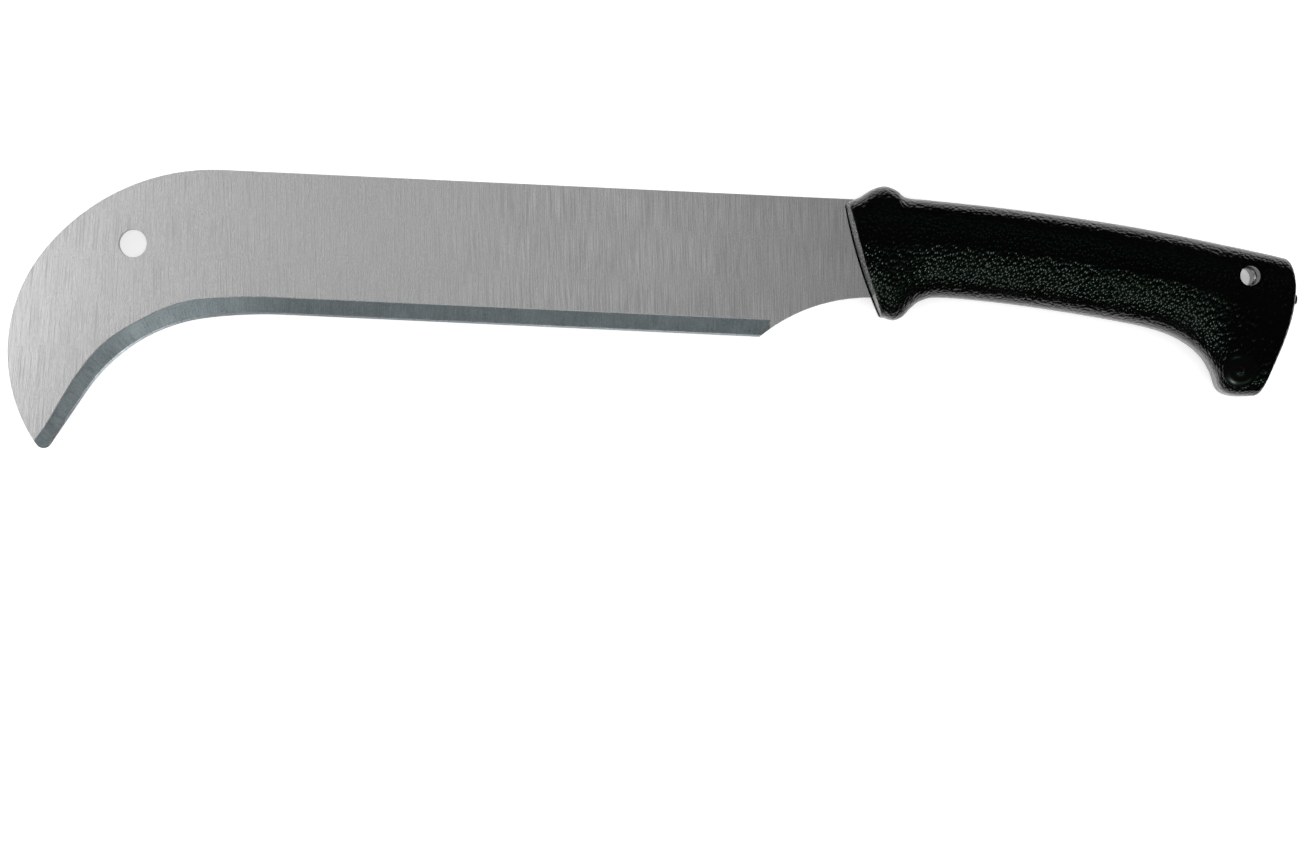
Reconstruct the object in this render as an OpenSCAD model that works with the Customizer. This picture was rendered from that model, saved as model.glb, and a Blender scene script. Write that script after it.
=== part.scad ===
// Hooked machete: a flat steel blade with a full-length tang, and a plastic handle moulded around the tang.
// It lies on its side: X runs from the hook to the butt, Y from the cutting edge to the spine, Z is up.
// The origin is under the middle of the whole outline, on the plane that the handle rests on.

/* [Blade] */
// Length of the blade from the hook's foremost point to the front of the handle
blade_l = 299.5; // [230:0.5:420]
// Width of the straight stretch of the blade, from the spine to the cutting edge
blade_w = 51; // [50:0.5:53]
// Thickness of the steel
blade_t = 3; // [2:0.1:4]
// Width of the ground bevel along the cutting edge
bevel_w = 6.2; // [4:0.1:9]
// Thickness of the steel left at the cutting edge
edge_t = 0.4; // [0.2:0.1:0.8]
// Radius of the run-up from the end of the cutting edge to the handle
choil_r = 62; // [58:1:66]

/* [Hook] */
// Length of the hook, from its foremost point back to where the cutting edge starts to bend
hook_l = 99.5; // [98:0.5:101]
// Radius of the shoulder where the spine bends down into the hook
shoulder_r = 78; // [74:1:82]
// Angle that the shoulder turns through
shoulder_turn = 55; // [50:1:60]
// Radius of the hook's nose
nose_r = 58; // [56:1:60]
// Radius of the first, slow bend of the cutting edge
sweep_r = 172; // [160:1:190]
// Angle of that slow bend
sweep_turn = 9.6; // [8:0.1:11]
// Radius of the hollow of the hook
throat_r = 61; // [58:1:64]
// Angle of the hollow of the hook
throat_turn = 49; // [46:1:52]
// Radius of the blunt tip
tip_r = 3; // [2.5:0.5:5]

/* [Holes] */
// Diameter of the hanging hole in the blade
hang_hole_d = 10; // [6:0.5:14]
// Distance of the hanging hole's centre behind the hook's foremost point
hang_hole_in = 43.2; // [38:0.2:60]
// Distance of the hanging hole's centre below the spine
hang_hole_down = 27.9; // [24:0.1:32]
// Diameter of the lanyard hole in the plastic
lanyard_d = 7.2; // [6.5:0.1:8]
// Diameter of the hole in the tang, whose steel shows as a ring inside the lanyard hole
tang_hole_d = 6.2; // [4:0.1:6.4]

/* [Handle] */
// Length of the handle along the blade
handle_l = 163; // [156:1:185]
// Thickness of the handle across its palm swell
handle_t = 26; // [23:0.5:32]
// Squareness of the handle's cross-section in the grip: 2 is an ellipse, more is boxier
grip_power = 2.7; // [2.2:0.1:3.2]
// Squareness of the cross-section at the guard and at the butt
end_power = 3.4; // [2.4:0.1:3.8]
// Place of the widest line of the section, from 0 at mid depth to 1 at the top edge
ridge_up = 0.25; // [0:0.05:0.4]
// Rounding of the rim around the handle's front face
front_rim = 1.8; // [1:0.2:2.4]
// Rounding of the rim around the butt
butt_rim = 5.5; // [4:0.5:6]
// Diameter of the round pad where the plastic entered the mould
gate_d = 12.4; // [9:0.2:14]

/* [Hidden] */
$fn = 96;
past = 2; // How far a cutting shape runs past what it cuts
lap = 0.05; // How far neighbouring cuts overlap, in mm on a straight and in degrees on an arc

// Cross-sections of the handle from the guard to the butt, in the drawn length, each as:
// [top x, top y, bottom x, bottom y, share of the handle's thickness, bow towards the butt, share of end_power]
drawn_l = 163;
SECTIONS = [
    [0.1, -0.6, 14.5, -41.1, 0.94, -1.2, 1],
    [3.9, 1.2, 16.4, -42.6, 0.97, -1.0, 1],
    [8.4, 3.8, 18.6, -42.8, 0.99, -0.8, 0.9],
    [12.6, 5.1, 21.4, -41.4, 0.98, -0.6, 0.7],
    [17.0, 3.6, 24.2, -38.2, 0.97, -0.4, 0.5],
    [21.0, 1.4, 28.0, -35.3, 0.95, -0.2, 0.2],
    [30.0, 0.8, 34.5, -33.9, 0.94, 0, 0],
    [52.0, -0.5, 53.0, -34.6, 0.95, 0, 0],
    [75.0, -2.4, 74.0, -36.4, 0.99, 0, 0],
    [97.0, -4.7, 95.0, -38.9, 1, 0, 0],
    [115.0, -7.1, 111.0, -41.5, 1, 0.2, 0.1],
    [126.0, -8.8, 121.2, -44.9, 1, 0.6, 0.3],
    [134.0, -10.1, 128.8, -50.0, 0.99, 1.1, 0.6],
    [140.5, -11.1, 133.4, -55.6, 0.98, 1.7, 0.8],
    [146.3, -12.1, 136.4, -61.4, 0.97, 2.4, 0.9],
    [151.8, -13.0, 139.9, -64.0, 0.96, 3.2, 1],
    [157.5, -14.1, 144.8, -64.4, 0.95, 3.9, 1]
];
RINGS_PER_SECTION = 3;
RIM_STEPS = 4;
POINTS_AROUND = 36;
END_RINGS = [0.3, 0.7]; // Sizes of the rings inside the rim of an end face

// Places along the handle, in its drawn length
lanyard_at = stretched([144, -21.4]);
gate_at = stretched([141.8, -55.4]);
pip_at = stretched([162, -28.6]);
LOCK_AT = [for (p = [[46, -17.6], [96, -19.4]]) stretched(p)];

// Tang, and how the plastic grips it
tang_start = 17; // Where the full width of the blade ends, inside the handle
tang_sides = [6, 30]; // The tang's upper and lower side below the spine where it starts
tang_eye_r = 7.5; // Round end of the tang about its hole
lock_d = 8; // Holes in the tang that the plastic fills

// Pad of the gate, with the stub of the sprue in its middle, and the pip of the mould on the butt
gate_level = 0.86; // Height of the pad's face above the blade, as a share of half the handle's thickness
gate_tilt = 5; // Lean of the pad towards the fingers
gate_round = 1.6;
gate_root = 6; // How deep the pad reaches into the handle
gate_dot_d = 2.2;
gate_dot_h = 0.4;
pip_d = 3.6;
pip_h = 1;
pip_root = 4;

half_t = blade_t / 2;
half_handle_t = handle_t / 2;
bevel_end = -26; // Where the grinding of the bevel stops, ahead of the handle
choil_at = [12, -35]; // Where the run-up turns level, inside the handle

// Centres of the arcs of the hook, and the direction of its straight inner edge
nose_from = 90 + shoulder_turn;
shoulder_c = [nose_r - blade_l - (shoulder_r - nose_r) * cos(nose_from), -shoulder_r];
nose_c = along(shoulder_c, shoulder_r - nose_r, nose_from);
sweep_c = [hook_l - blade_l, -blade_w - sweep_r];
throat_from = 90 + sweep_turn;
throat_to = throat_from + throat_turn;
throat_c = along(sweep_c, sweep_r - throat_r, throat_from);
inner_dir = throat_to + 90;

// The tip is an arc that touches the straight inner edge and, from inside, the arc of the nose
beside_edge = along(throat_c, throat_r + tip_r, throat_to);
tip_c = along(beside_edge, reach(beside_edge, inner_dir, nose_c, nose_r - tip_r), inner_dir);
tip_from = atan2(tip_c.y - nose_c.y, tip_c.x - nose_c.x) + 360;
tip_to = inner_dir + 90;
hang_hole_at = [hang_hole_in - blade_l, -hang_hole_down];

// Limits of the whole outline, which place the origin
skin_points = [for (ring = skin_rings()) each ring];
x_high = max(max([for (p = skin_points) p.x]), pip_at.x + pip_h);
y_high = max([for (p = skin_points) p.y]);
z_high = max([for (p = skin_points) p.z]);
x_mid = (x_high - blade_l) / 2;
y_mid = (y_high + tip_c.y - tip_r) / 2;

function stretched(p) = [p.x * handle_l / drawn_l, p.y];
function along(p, d, a) = [p.x + d * cos(a), p.y + d * sin(a)];

// Distance from p in direction a to the far side of a circle
function reach(p, a, c, r) =
    let (w = p - c, b = w.x * cos(a) + w.y * sin(a)) -b + sqrt(b * b - w * w + r * r);

// A smooth curve through the drawn sections: t counts sections, so 2.5 is half way from the third to the fourth
function section(t) =
    let (
        last = len(SECTIONS) - 1,
        i = min(floor(t), last - 1),
        f = t - i,
        a = SECTIONS[max(i - 1, 0)],
        b = SECTIONS[i],
        c = SECTIONS[i + 1],
        d = SECTIONS[min(i + 2, last)]
    )
    b + (c - a) * f / 2 + (2 * a - 5 * b + 4 * c - d) * f * f / 2 + (3 * b - a - 3 * c + d) * f * f * f / 2;

// One closed ring of the skin, moved towards the butt, drawn in all round and then scaled about its middle
function ring(t, shift = 0, inset = 0, scale = 1) =
    let (
        s = section(t),
        top = stretched([s[0], s[1]]),
        bottom = stretched([s[2], s[3]]),
        middle = (top + bottom) / 2,
        up = (top - bottom) / norm(top - bottom),
        to_butt = [up.y, -up.x],
        depth = norm(top - bottom) / 2 - inset,
        width = s[4] * half_handle_t - inset,
        bow = s[5],
        power = grip_power + (end_power - grip_power) * s[6]
    )
    [
        for (k = [0 : POINTS_AROUND - 1])
        let (
            a = 360 * k / POINTS_AROUND,
            ease = pow(abs(cos(a)), 2 / power),
            u = scale * (cos(a) > 0 ? ridge_up + (1 - ridge_up) * ease : ridge_up - (1 + ridge_up) * ease),
            w = scale * sign(sin(a)) * pow(abs(sin(a)), 2 / power),
            p = middle + up * depth * u + to_butt * (shift + bow * (1 - u * u))
        )
        [p.x, p.y, width * w]
    ];

// All rings of the skin, from the front face's middle over both rims to the butt's middle
function skin_rings() =
    let (last = len(SECTIONS) - 1, steps = last * RINGS_PER_SECTION)
    [
        for (scale = END_RINGS) ring(0, -front_rim, front_rim, scale),
        for (k = [RIM_STEPS : -1 : 1]) let (a = 90 * k / RIM_STEPS)
            ring(0, -front_rim * sin(a), front_rim * (1 - cos(a))),
        for (k = [0 : steps]) ring(k / RINGS_PER_SECTION),
        for (k = [1 : RIM_STEPS]) let (a = 90 * k / RIM_STEPS)
            ring(last, butt_rim * sin(a), butt_rim * (1 - cos(a))),
        for (k = [len(END_RINGS) - 1 : -1 : 0]) ring(last, butt_rim, butt_rim, END_RINGS[k])
    ];

// Skin of the handle: the rings, joined by triangles and closed by a flat cap at both ends
module skin() {
    n = POINTS_AROUND;
    rows = len(skin_points) / n;
    sides = [
        for (i = [0 : rows - 2], k = [0 : n - 1])
        let (a = i * n + k, b = i * n + (k + 1) % n)
        each [[a, a + n, b + n], [a, b + n, b]]
    ];
    caps = [
        for (k = [1 : n - 2])
        each [[0, k, k + 1], [(rows - 1) * n, (rows - 1) * n + k + 1, (rows - 1) * n + k]]
    ];
    polyhedron(skin_points, concat(sides, caps));
}

// A slice of a disc between two directions
module slice(c, r, a0, a1) {
    intersection() {
        translate(c) circle(r);
        polygon([c, along(c, 2 * r, a0), along(c, 2 * r, (a0 + a1) / 2), along(c, 2 * r, a1)]);
    }
}

// The hook and the straight blade before the edge is cut to shape
module blade_blank() {
    spare = 10; // Stock below the slow bend, for the edge to be cut from
    past_tip = 15; // Degrees of the nose beyond the tip
    translate([shoulder_c.x, -blade_w]) square([tang_start - shoulder_c.x, blade_w]);
    translate([shoulder_c.x, -blade_w - spare]) square([sweep_c.x - shoulder_c.x, 2 * spare]);
    slice(shoulder_c, shoulder_r, 90, nose_from);
    slice(nose_c, nose_r, nose_from, tip_from + past_tip);
}

// All that lies on the cutting side of the edge
module edge_side() {
    before = 5; // Degrees of the slow bend's circle below the straight edge, where there is no steel
    slice(sweep_c, sweep_r, 90 - before, throat_from);
    translate(throat_c) circle(throat_r);
    translate(throat_c) rotate(throat_to) square([throat_r, hook_l / 2]);
    translate(choil_at - [0, choil_r]) circle(choil_r);
    translate([choil_at.x, -blade_w - past]) square([tang_start, blade_w + past + choil_at.y]);
}

// What the blunt tip leaves outside its arc
module tip_corner() {
    difference() {
        slice(tip_c, 4 * tip_r, tip_from, tip_to);
        translate(tip_c) circle(tip_r);
    }
}

// Where a line from p touches the tang's eye, on its upper (-1) or lower (1) side
function touch(p, side) =
    let (w = p - lanyard_at)
    along(lanyard_at, tang_eye_r, atan2(w.y, w.x) + side * acos(tang_eye_r / norm(w)));

// The tang: tapering sides that run into a round eye
module tang_outline() {
    high = [tang_start - past, -tang_sides[0]];
    low = [tang_start - past, -tang_sides[1]];
    polygon([high, touch(high, -1), lanyard_at, touch(low, 1), low]);
    translate(lanyard_at) circle(tang_eye_r);
}

module blade_outline() {
    difference() {
        blade_blank();
        edge_side();
        tip_corner();
    }
}

// A shape of the sheet, as thick as the blade and about its mid plane
module sheet() {
    translate([0, 0, -half_t]) linear_extrude(blade_t) children();
}

// A hole from face to face
module hole(at, d) {
    translate([at.x, at.y, -half_t - past]) cylinder(d = d, h = blade_t + 2 * past);
}

// The steel as it is cut from the sheet, with all its holes
module plate() {
    difference() {
        union() {
            sheet() blade_outline();
            sheet() tang_outline();
        }
        hole(hang_hole_at, hang_hole_d);
        hole(lanyard_at, tang_hole_d);
        for (p = LOCK_AT) hole(p, lock_d);
    }
}

// What the grinding takes off one face, as a profile across the edge: 0 is the edge, the blade is on the right
module bevel_profile() {
    slope = (half_t - edge_t / 2) / bevel_w;
    polygon([
        [-past, edge_t / 2 - slope * past],
        [bevel_w + past, half_t + slope * past],
        [-past, half_t + slope * past]
    ]);
}

// The profile carried along +Y, with the blade on the +X side
module straight_grind(run) {
    rotate([90, 0, 0]) translate([0, 0, -run - lap]) linear_extrude(run + 2 * lap) bevel_profile();
}

// The profile carried round an arc about the origin, with the blade outside it
module round_grind(r, a0, a1) {
    rotate(a0 - lap) rotate_extrude(angle = a1 - a0 + 2 * lap) translate([r, 0]) bevel_profile();
}

// The grinding of one face follows the straight edge, both bends and the inner edge, out past the tip
module grinding() {
    translate([bevel_end, -blade_w]) rotate(90) straight_grind(bevel_end - sweep_c.x);
    translate(sweep_c) round_grind(sweep_r, 90, throat_from);
    translate(throat_c) round_grind(throat_r, throat_from, throat_to);
    translate(along(throat_c, throat_r, throat_to)) rotate(throat_to) straight_grind(hook_l / 2);
}

// Round pad with a rounded edge and the sprue's stub, its face at height 0
module gate_pad() {
    r = gate_d / 2;
    rotate_extrude() {
        translate([0, -gate_root]) square([r, gate_root - gate_round]);
        translate([0, -gate_root]) square([r - gate_round, gate_root]);
        translate([r - gate_round, -gate_round]) circle(gate_round);
    }
    cylinder(d = gate_dot_d, h = gate_dot_h);
}

module blade() {
    color([0.72, 0.73, 0.74]) difference() {
        plate();
        grinding();
        mirror([0, 0, 1]) grinding();
    }
}

module handle() {
    color([0.05, 0.06, 0.05]) difference() {
        union() {
            skin();
            translate([gate_at.x, gate_at.y, gate_level * half_handle_t]) rotate([gate_tilt, 0, 0]) gate_pad();
            translate([pip_at.x - pip_root, pip_at.y, 0]) rotate([0, 90, 0])
                cylinder(d = pip_d, h = pip_root + pip_h);
        }
        plate();
        translate([lanyard_at.x, lanyard_at.y, -handle_t]) cylinder(d = lanyard_d, h = 2 * handle_t);
    }
}

// Everything is drawn about the blade's mid plane and the spine's end, and moved here to the origin of the part
module placed() {
    translate([-x_mid, -y_mid, z_high]) children();
}

placed() blade();
placed() handle();
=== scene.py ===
"""Hooked machete with a moulded handle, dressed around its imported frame.

The blade is one piece of spring steel: a ground hook, a bevel along its inner edge, and a tang that runs on
inside the handle and shows as a ring in the lanyard hole. The handle is one moulding of grained plastic around
that tang. Sizes are in millimetres in the drawing's own frame, whose origin is where the spine meets the handle,
on the blade's mid plane. Datum moves them into the part's frame, in metres.
"""

import logging
import math
from collections.abc import Callable
from dataclasses import dataclass, field
from enum import Enum

import bmesh
import bpy
import numpy as np
from mathutils import Matrix, Vector
from mathutils.geometry import delaunay_2d_cdt


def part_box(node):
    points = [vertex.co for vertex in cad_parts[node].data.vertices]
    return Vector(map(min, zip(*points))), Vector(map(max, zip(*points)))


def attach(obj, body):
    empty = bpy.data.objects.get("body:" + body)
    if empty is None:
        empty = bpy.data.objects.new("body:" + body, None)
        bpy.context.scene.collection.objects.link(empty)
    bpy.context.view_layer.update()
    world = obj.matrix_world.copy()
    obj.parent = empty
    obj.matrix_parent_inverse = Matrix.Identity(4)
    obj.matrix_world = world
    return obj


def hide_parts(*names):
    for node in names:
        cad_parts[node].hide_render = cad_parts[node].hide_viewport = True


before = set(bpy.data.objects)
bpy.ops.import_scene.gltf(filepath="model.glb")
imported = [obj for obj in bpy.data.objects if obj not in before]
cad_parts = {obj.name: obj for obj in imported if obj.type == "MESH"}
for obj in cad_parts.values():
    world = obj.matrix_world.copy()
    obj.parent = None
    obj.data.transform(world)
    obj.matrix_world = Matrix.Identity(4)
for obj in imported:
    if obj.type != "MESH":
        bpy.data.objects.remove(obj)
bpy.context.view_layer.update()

LOG = logging.getLogger("machete")
MM = 0.001
GRIND_MAP = "grind"  # the blade's map: the run along its grinding, and the depth across it
MAP_MM = 0.01  # a millimetre in that map
GRAIN_MASK = "grain"
# the mask of the pale sheen painted on the front wall: a painted reflection
PAINTED_SHEEN_MASK = "painted_sheen"
PEBBLE = (1.05, 1.7)  # width and length of the leather grain's pebbles in millimetres
PEBBLE_LEAN = 14.0  # how far they lean towards the butt, in degrees
MERGE = 1e-5  # drawn points closer than this, in millimetres, are one
TINY = 1e-12  # keeps a division from meeting zero
BATCH = 2000  # points compared with an outline at once


def linear(code: str) -> tuple[float, float, float, float]:
    """Turns an sRGB colour into the linear one that a shader wants.

    Args:
        code: six hex digits.

    Returns:
        Linear red, green, blue and an alpha of 1.
    """
    parts = [int(code[i : i + 2], 16) / 255 for i in (0, 2, 4)]
    return (*(c / 12.92 if c <= 0.04045 else ((c + 0.055) / 1.055) ** 2.4 for c in parts), 1.0)


def feed(tree: bpy.types.NodeTree, node: bpy.types.Node, inputs: dict) -> None:
    """Sets or links a node's inputs.

    Args:
        tree: the tree that holds the node.
        node: the node.
        inputs: socket name or number to a value, or to the output socket that feeds it.
    """
    for key, value in inputs.items():
        if isinstance(value, bpy.types.NodeSocket):
            tree.links.new(value, node.inputs[key])
        else:
            node.inputs[key].default_value = value


def add(tree: bpy.types.NodeTree, kind: str, inputs: dict | None = None, **settings: object) -> bpy.types.Node:
    """Adds one node with its settings and links.

    Args:
        tree: the tree that gets the node.
        kind: the node's type name.
        inputs: socket name or number to a value, or to the output socket that feeds it.
        settings: properties of the node.

    Returns:
        The new node.
    """
    node = tree.nodes.new(kind)
    for name, value in settings.items():
        setattr(node, name, value)
    feed(tree, node, inputs or {})
    return node


def blank(name: str) -> tuple[bpy.types.Material, bpy.types.NodeTree, bpy.types.Node]:
    """Makes a material to be dressed.

    Args:
        name: the material's name.

    Returns:
        The material, its tree and its shader.
    """
    material = bpy.data.materials.new(name)
    material.use_nodes = True
    return material, material.node_tree, material.node_tree.nodes["Principled BSDF"]


def weighted(tree: bpy.types.NodeTree, parts: list[tuple[bpy.types.NodeSocket, float]]) -> bpy.types.NodeSocket:
    """Adds patterns up by their shares.

    Args:
        tree: the tree that holds them.
        parts: each pattern and its share.

    Returns:
        Their sum.
    """
    total = 0.0
    for pattern, share in reversed(parts):
        total = add(tree, "ShaderNodeMath", {0: pattern, 1: share, 2: total},
                    operation="MULTIPLY_ADD").outputs[0]
    return total


def leather_domes(tree: bpy.types.NodeTree, where: bpy.types.NodeSocket) -> bpy.types.NodeSocket:
    """Adds the leather grain of the mould: pebbles that are longer from back to belly than along the handle.

    Args:
        tree: a shader tree or a Geometry Nodes tree.
        where: the place in metres.

    Returns:
        The fall from the top of the nearest pebble: its middle's distance squared, where 1 is its size.
    """
    leant = add(tree, "ShaderNodeVectorRotate", {"Vector": where, "Angle": math.radians(PEBBLE_LEAN)},
                rotation_type="Z_AXIS").outputs[0]
    width, length = (1 / (p * MM) for p in PEBBLE)
    fitted = add(tree, "ShaderNodeVectorMath", {0: leant, 1: (width, length, width)},
                 operation="MULTIPLY").outputs[0]
    away = add(tree, "ShaderNodeTexVoronoi", {"Vector": fitted, "Scale": 1.0}, feature="F1").outputs["Distance"]
    return add(tree, "ShaderNodeMath", {0: away, 1: away}, operation="MULTIPLY").outputs[0]


def ease(value: np.ndarray | float, low: float, high: float) -> np.ndarray:
    """Rises smoothly from 0 at low to 1 at high."""
    t = np.clip((value - low) / (high - low), 0, 1)
    return t * t * (3 - 2 * t)


def unit(angle: float) -> np.ndarray:
    """The direction at an angle in degrees."""
    return np.array([math.cos(math.radians(angle)), math.sin(math.radians(angle))])


def bearing(way: np.ndarray) -> float:
    """The angle of a direction in degrees."""
    return math.degrees(math.atan2(way[1], way[0]))


def run_along(points: np.ndarray) -> np.ndarray:
    """The length of a line of points, from its first one up to each."""
    return np.concatenate([[0], np.cumsum(np.linalg.norm(np.diff(points, axis=0), axis=1))])


def level_line(start: float, end: float, step: float, height: float) -> np.ndarray:
    """Points along a level line, from its start to short of its end."""
    along = np.arange(start, end, step)
    return np.column_stack([along, np.full(len(along), height)])


def arc(centre: np.ndarray, radius: float, start: float, end: float, step: float) -> np.ndarray:
    """Points along an arc.

    Args:
        centre: the arc's centre.
        radius: its radius.
        start: direction of the first point, in degrees.
        end: direction of the last point.
        step: the longest distance between points.

    Returns:
        One point to a row, both ends among them.
    """
    count = max(2, math.ceil(abs(math.radians(end - start)) * radius / step))
    angles = np.radians(np.linspace(start, end, count + 1))
    return centre + radius * np.stack([np.cos(angles), np.sin(angles)], 1)


def far_side(p: np.ndarray, way: np.ndarray, centre: np.ndarray, radius: float) -> float:
    """Measures from a point inside a circle to its far side.

    Args:
        p: the point.
        way: the direction, one long.
        centre: the circle's centre.
        radius: its radius.

    Returns:
        The distance.
    """
    w = p - centre
    b = float(w @ way)
    return -b + math.sqrt(b * b - float(w @ w) + radius * radius)


def inset(loop: np.ndarray, by: float) -> np.ndarray:
    """Moves a closed loop into the steel.

    Args:
        loop: the loop's points, with the steel on their left.
        by: how far.

    Returns:
        The moved points.
    """
    ahead = np.roll(loop, -1, 0) - np.roll(loop, 1, 0)
    ahead /= np.linalg.norm(ahead, axis=1)[:, None]
    return loop + by * np.column_stack([-ahead[:, 1], ahead[:, 0]])


def within(points: np.ndarray, loops: list[np.ndarray]) -> np.ndarray:
    """Tells which points lie in the steel, by counting the sides that a ray from each one crosses.

    Args:
        points: drawn points.
        loops: the outline and the holes.

    Returns:
        True for each point that lies in it.
    """
    crossed = np.zeros(len(points), int)
    for loop in loops:
        a, b = loop, np.roll(loop, -1, 0)
        rise = np.where(np.abs(b[:, 1] - a[:, 1]) < TINY, TINY, b[:, 1] - a[:, 1])
        for k in range(0, len(points), BATCH):
            p = points[k : k + BATCH, None]
            spans = (a[None, :, 1] > p[..., 1]) != (b[None, :, 1] > p[..., 1])
            meets = (b[:, 0] - a[:, 0]) * (p[..., 1] - a[None, :, 1]) / rise + a[:, 0]
            crossed[k : k + BATCH] += (spans & (p[..., 0] < meets)).sum(1)
    return crossed % 2 == 1


def mesh_object(name: str, points: np.ndarray, faces: list, smooth: bool = True) -> bpy.types.Object:
    """Makes an object at the origin.

    Args:
        name: its name.
        points: its points in metres.
        faces: its faces by point number.
        smooth: whether they shade smoothly.

    Returns:
        The object, in the scene.
    """
    mesh = bpy.data.meshes.new(name)
    mesh.from_pydata([tuple(map(float, p)) for p in points], [], faces)
    mesh.polygons.foreach_set("use_smooth", [smooth] * len(mesh.polygons))
    mesh.validate()
    mesh.update()
    made = bpy.data.objects.new(name, mesh)
    bpy.context.scene.collection.objects.link(made)
    return made


def outward(made: bpy.types.Object) -> bpy.types.Object:
    """Turns the faces of a closed mesh outwards, where its signed volume says that they all point in.

    Args:
        made: the object.

    Returns:
        The same object.
    """
    mesh = made.data
    mesh.calc_loop_triangles()
    spot = np.array([v.co for v in mesh.vertices])
    a, b, c = (spot[[t.vertices[k] for t in mesh.loop_triangles]] for k in range(3))
    if (a * np.cross(b, c)).sum() < 0:
        mesh.flip_normals()
    return made


def store(made: bpy.types.Object, name: str, values: np.ndarray) -> None:
    """Keeps one number for each point of a mesh."""
    made.data.attributes.new(name, "FLOAT", "POINT").data.foreach_set("value", values.astype(np.float32))


def settle(made: bpy.types.Object) -> None:
    """Turns an object's modifiers into its own plain mesh, and takes them off.

    Args:
        made: the object.
    """
    graph = bpy.context.evaluated_depsgraph_get()
    mesh = bpy.data.meshes.new_from_object(made.evaluated_get(graph), preserve_all_data_layers=True,
                                           depsgraph=graph)
    made.modifiers.clear()
    old, made.data = made.data, mesh
    bpy.data.meshes.remove(old)


class Side(Enum):
    """How a face of the blade was finished, by the number of its material."""

    FLAT = 0
    BEVEL = 1
    HONED = 2
    SHEARED = 3


@dataclass(frozen=True)
class Datum:
    """Where the drawing's origin lies in the part's frame, in metres."""

    x: float
    y: float
    z: float

    @classmethod
    def of_blade(cls, blade_l: float) -> "Datum":
        """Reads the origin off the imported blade, by its spine and by the hook's end, which is blade_l ahead."""
        low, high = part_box("blade")
        return cls(low.x + blade_l * MM, high.y, (low.z + high.z) / 2)

    def place(self, points: np.ndarray) -> np.ndarray:
        """Moves drawn points into the part's frame.

        Args:
            points: two or three numbers to a row, in millimetres.

        Returns:
            Three numbers to a row, in metres.
        """
        flat = np.asarray(points, float) * MM
        if flat.shape[1] == 2:
            flat = np.column_stack([flat, np.zeros(len(flat))])
        return flat + (self.x, self.y, self.z)


def plate(name: str, lines: list[tuple[np.ndarray, bool]], loops: list[np.ndarray],
          rise: Callable[[np.ndarray], np.ndarray], datum: Datum, smooth: bool) -> bpy.types.Object:
    """Makes a closed solid that is alike above and below its mid plane.

    Args:
        name: the object's name.
        lines: drawn lines that its triangles have to keep, and whether each one is closed.
        loops: its outline, and then its holes.
        rise: gives the height of its upper face at drawn points.
        datum: the drawing's origin.
        smooth: whether its faces shade smoothly.

    Returns:
        The solid.
    """
    links, first = [], 0
    for line, closed in lines:
        links += [(first + k, first + k + 1) for k in range(len(line) - 1)]
        first += len(line)
        if closed:
            links.append((first - 1, first - len(line)))
    flat = np.vstack([line for line, _ in lines])
    verts, _, faces, *_ = delaunay_2d_cdt([Vector(p) for p in flat], links, [], 0, MERGE)
    where = np.array([tuple(v) for v in verts])
    faces = np.array([tuple(f) for f in faces])
    used, faces = np.unique(faces[within(where[faces].mean(1), loops)], return_inverse=True)
    where, faces = where[used], faces.reshape(-1, 3)
    corners = where[faces]
    turn = np.cross(corners[:, 1] - corners[:, 0], corners[:, 2] - corners[:, 0])
    faces[turn < 0] = faces[turn < 0][:, ::-1]
    sides = {(int(a), int(b)) for f in faces for a, b in zip(f, np.roll(f, -1))}
    rim = [(a, b) for a, b in sides if (b, a) not in sides]
    count, height = len(where), rise(where)
    space = np.vstack([np.column_stack([where, height]), np.column_stack([where, -height])])
    every = [tuple(map(int, f)) for f in faces] + [tuple(int(v) + count for v in f[::-1]) for f in faces]
    every += [(b, a, a + count, b + count) for a, b in rim]
    return outward(mesh_object(name, datum.place(space), every, smooth))


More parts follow.
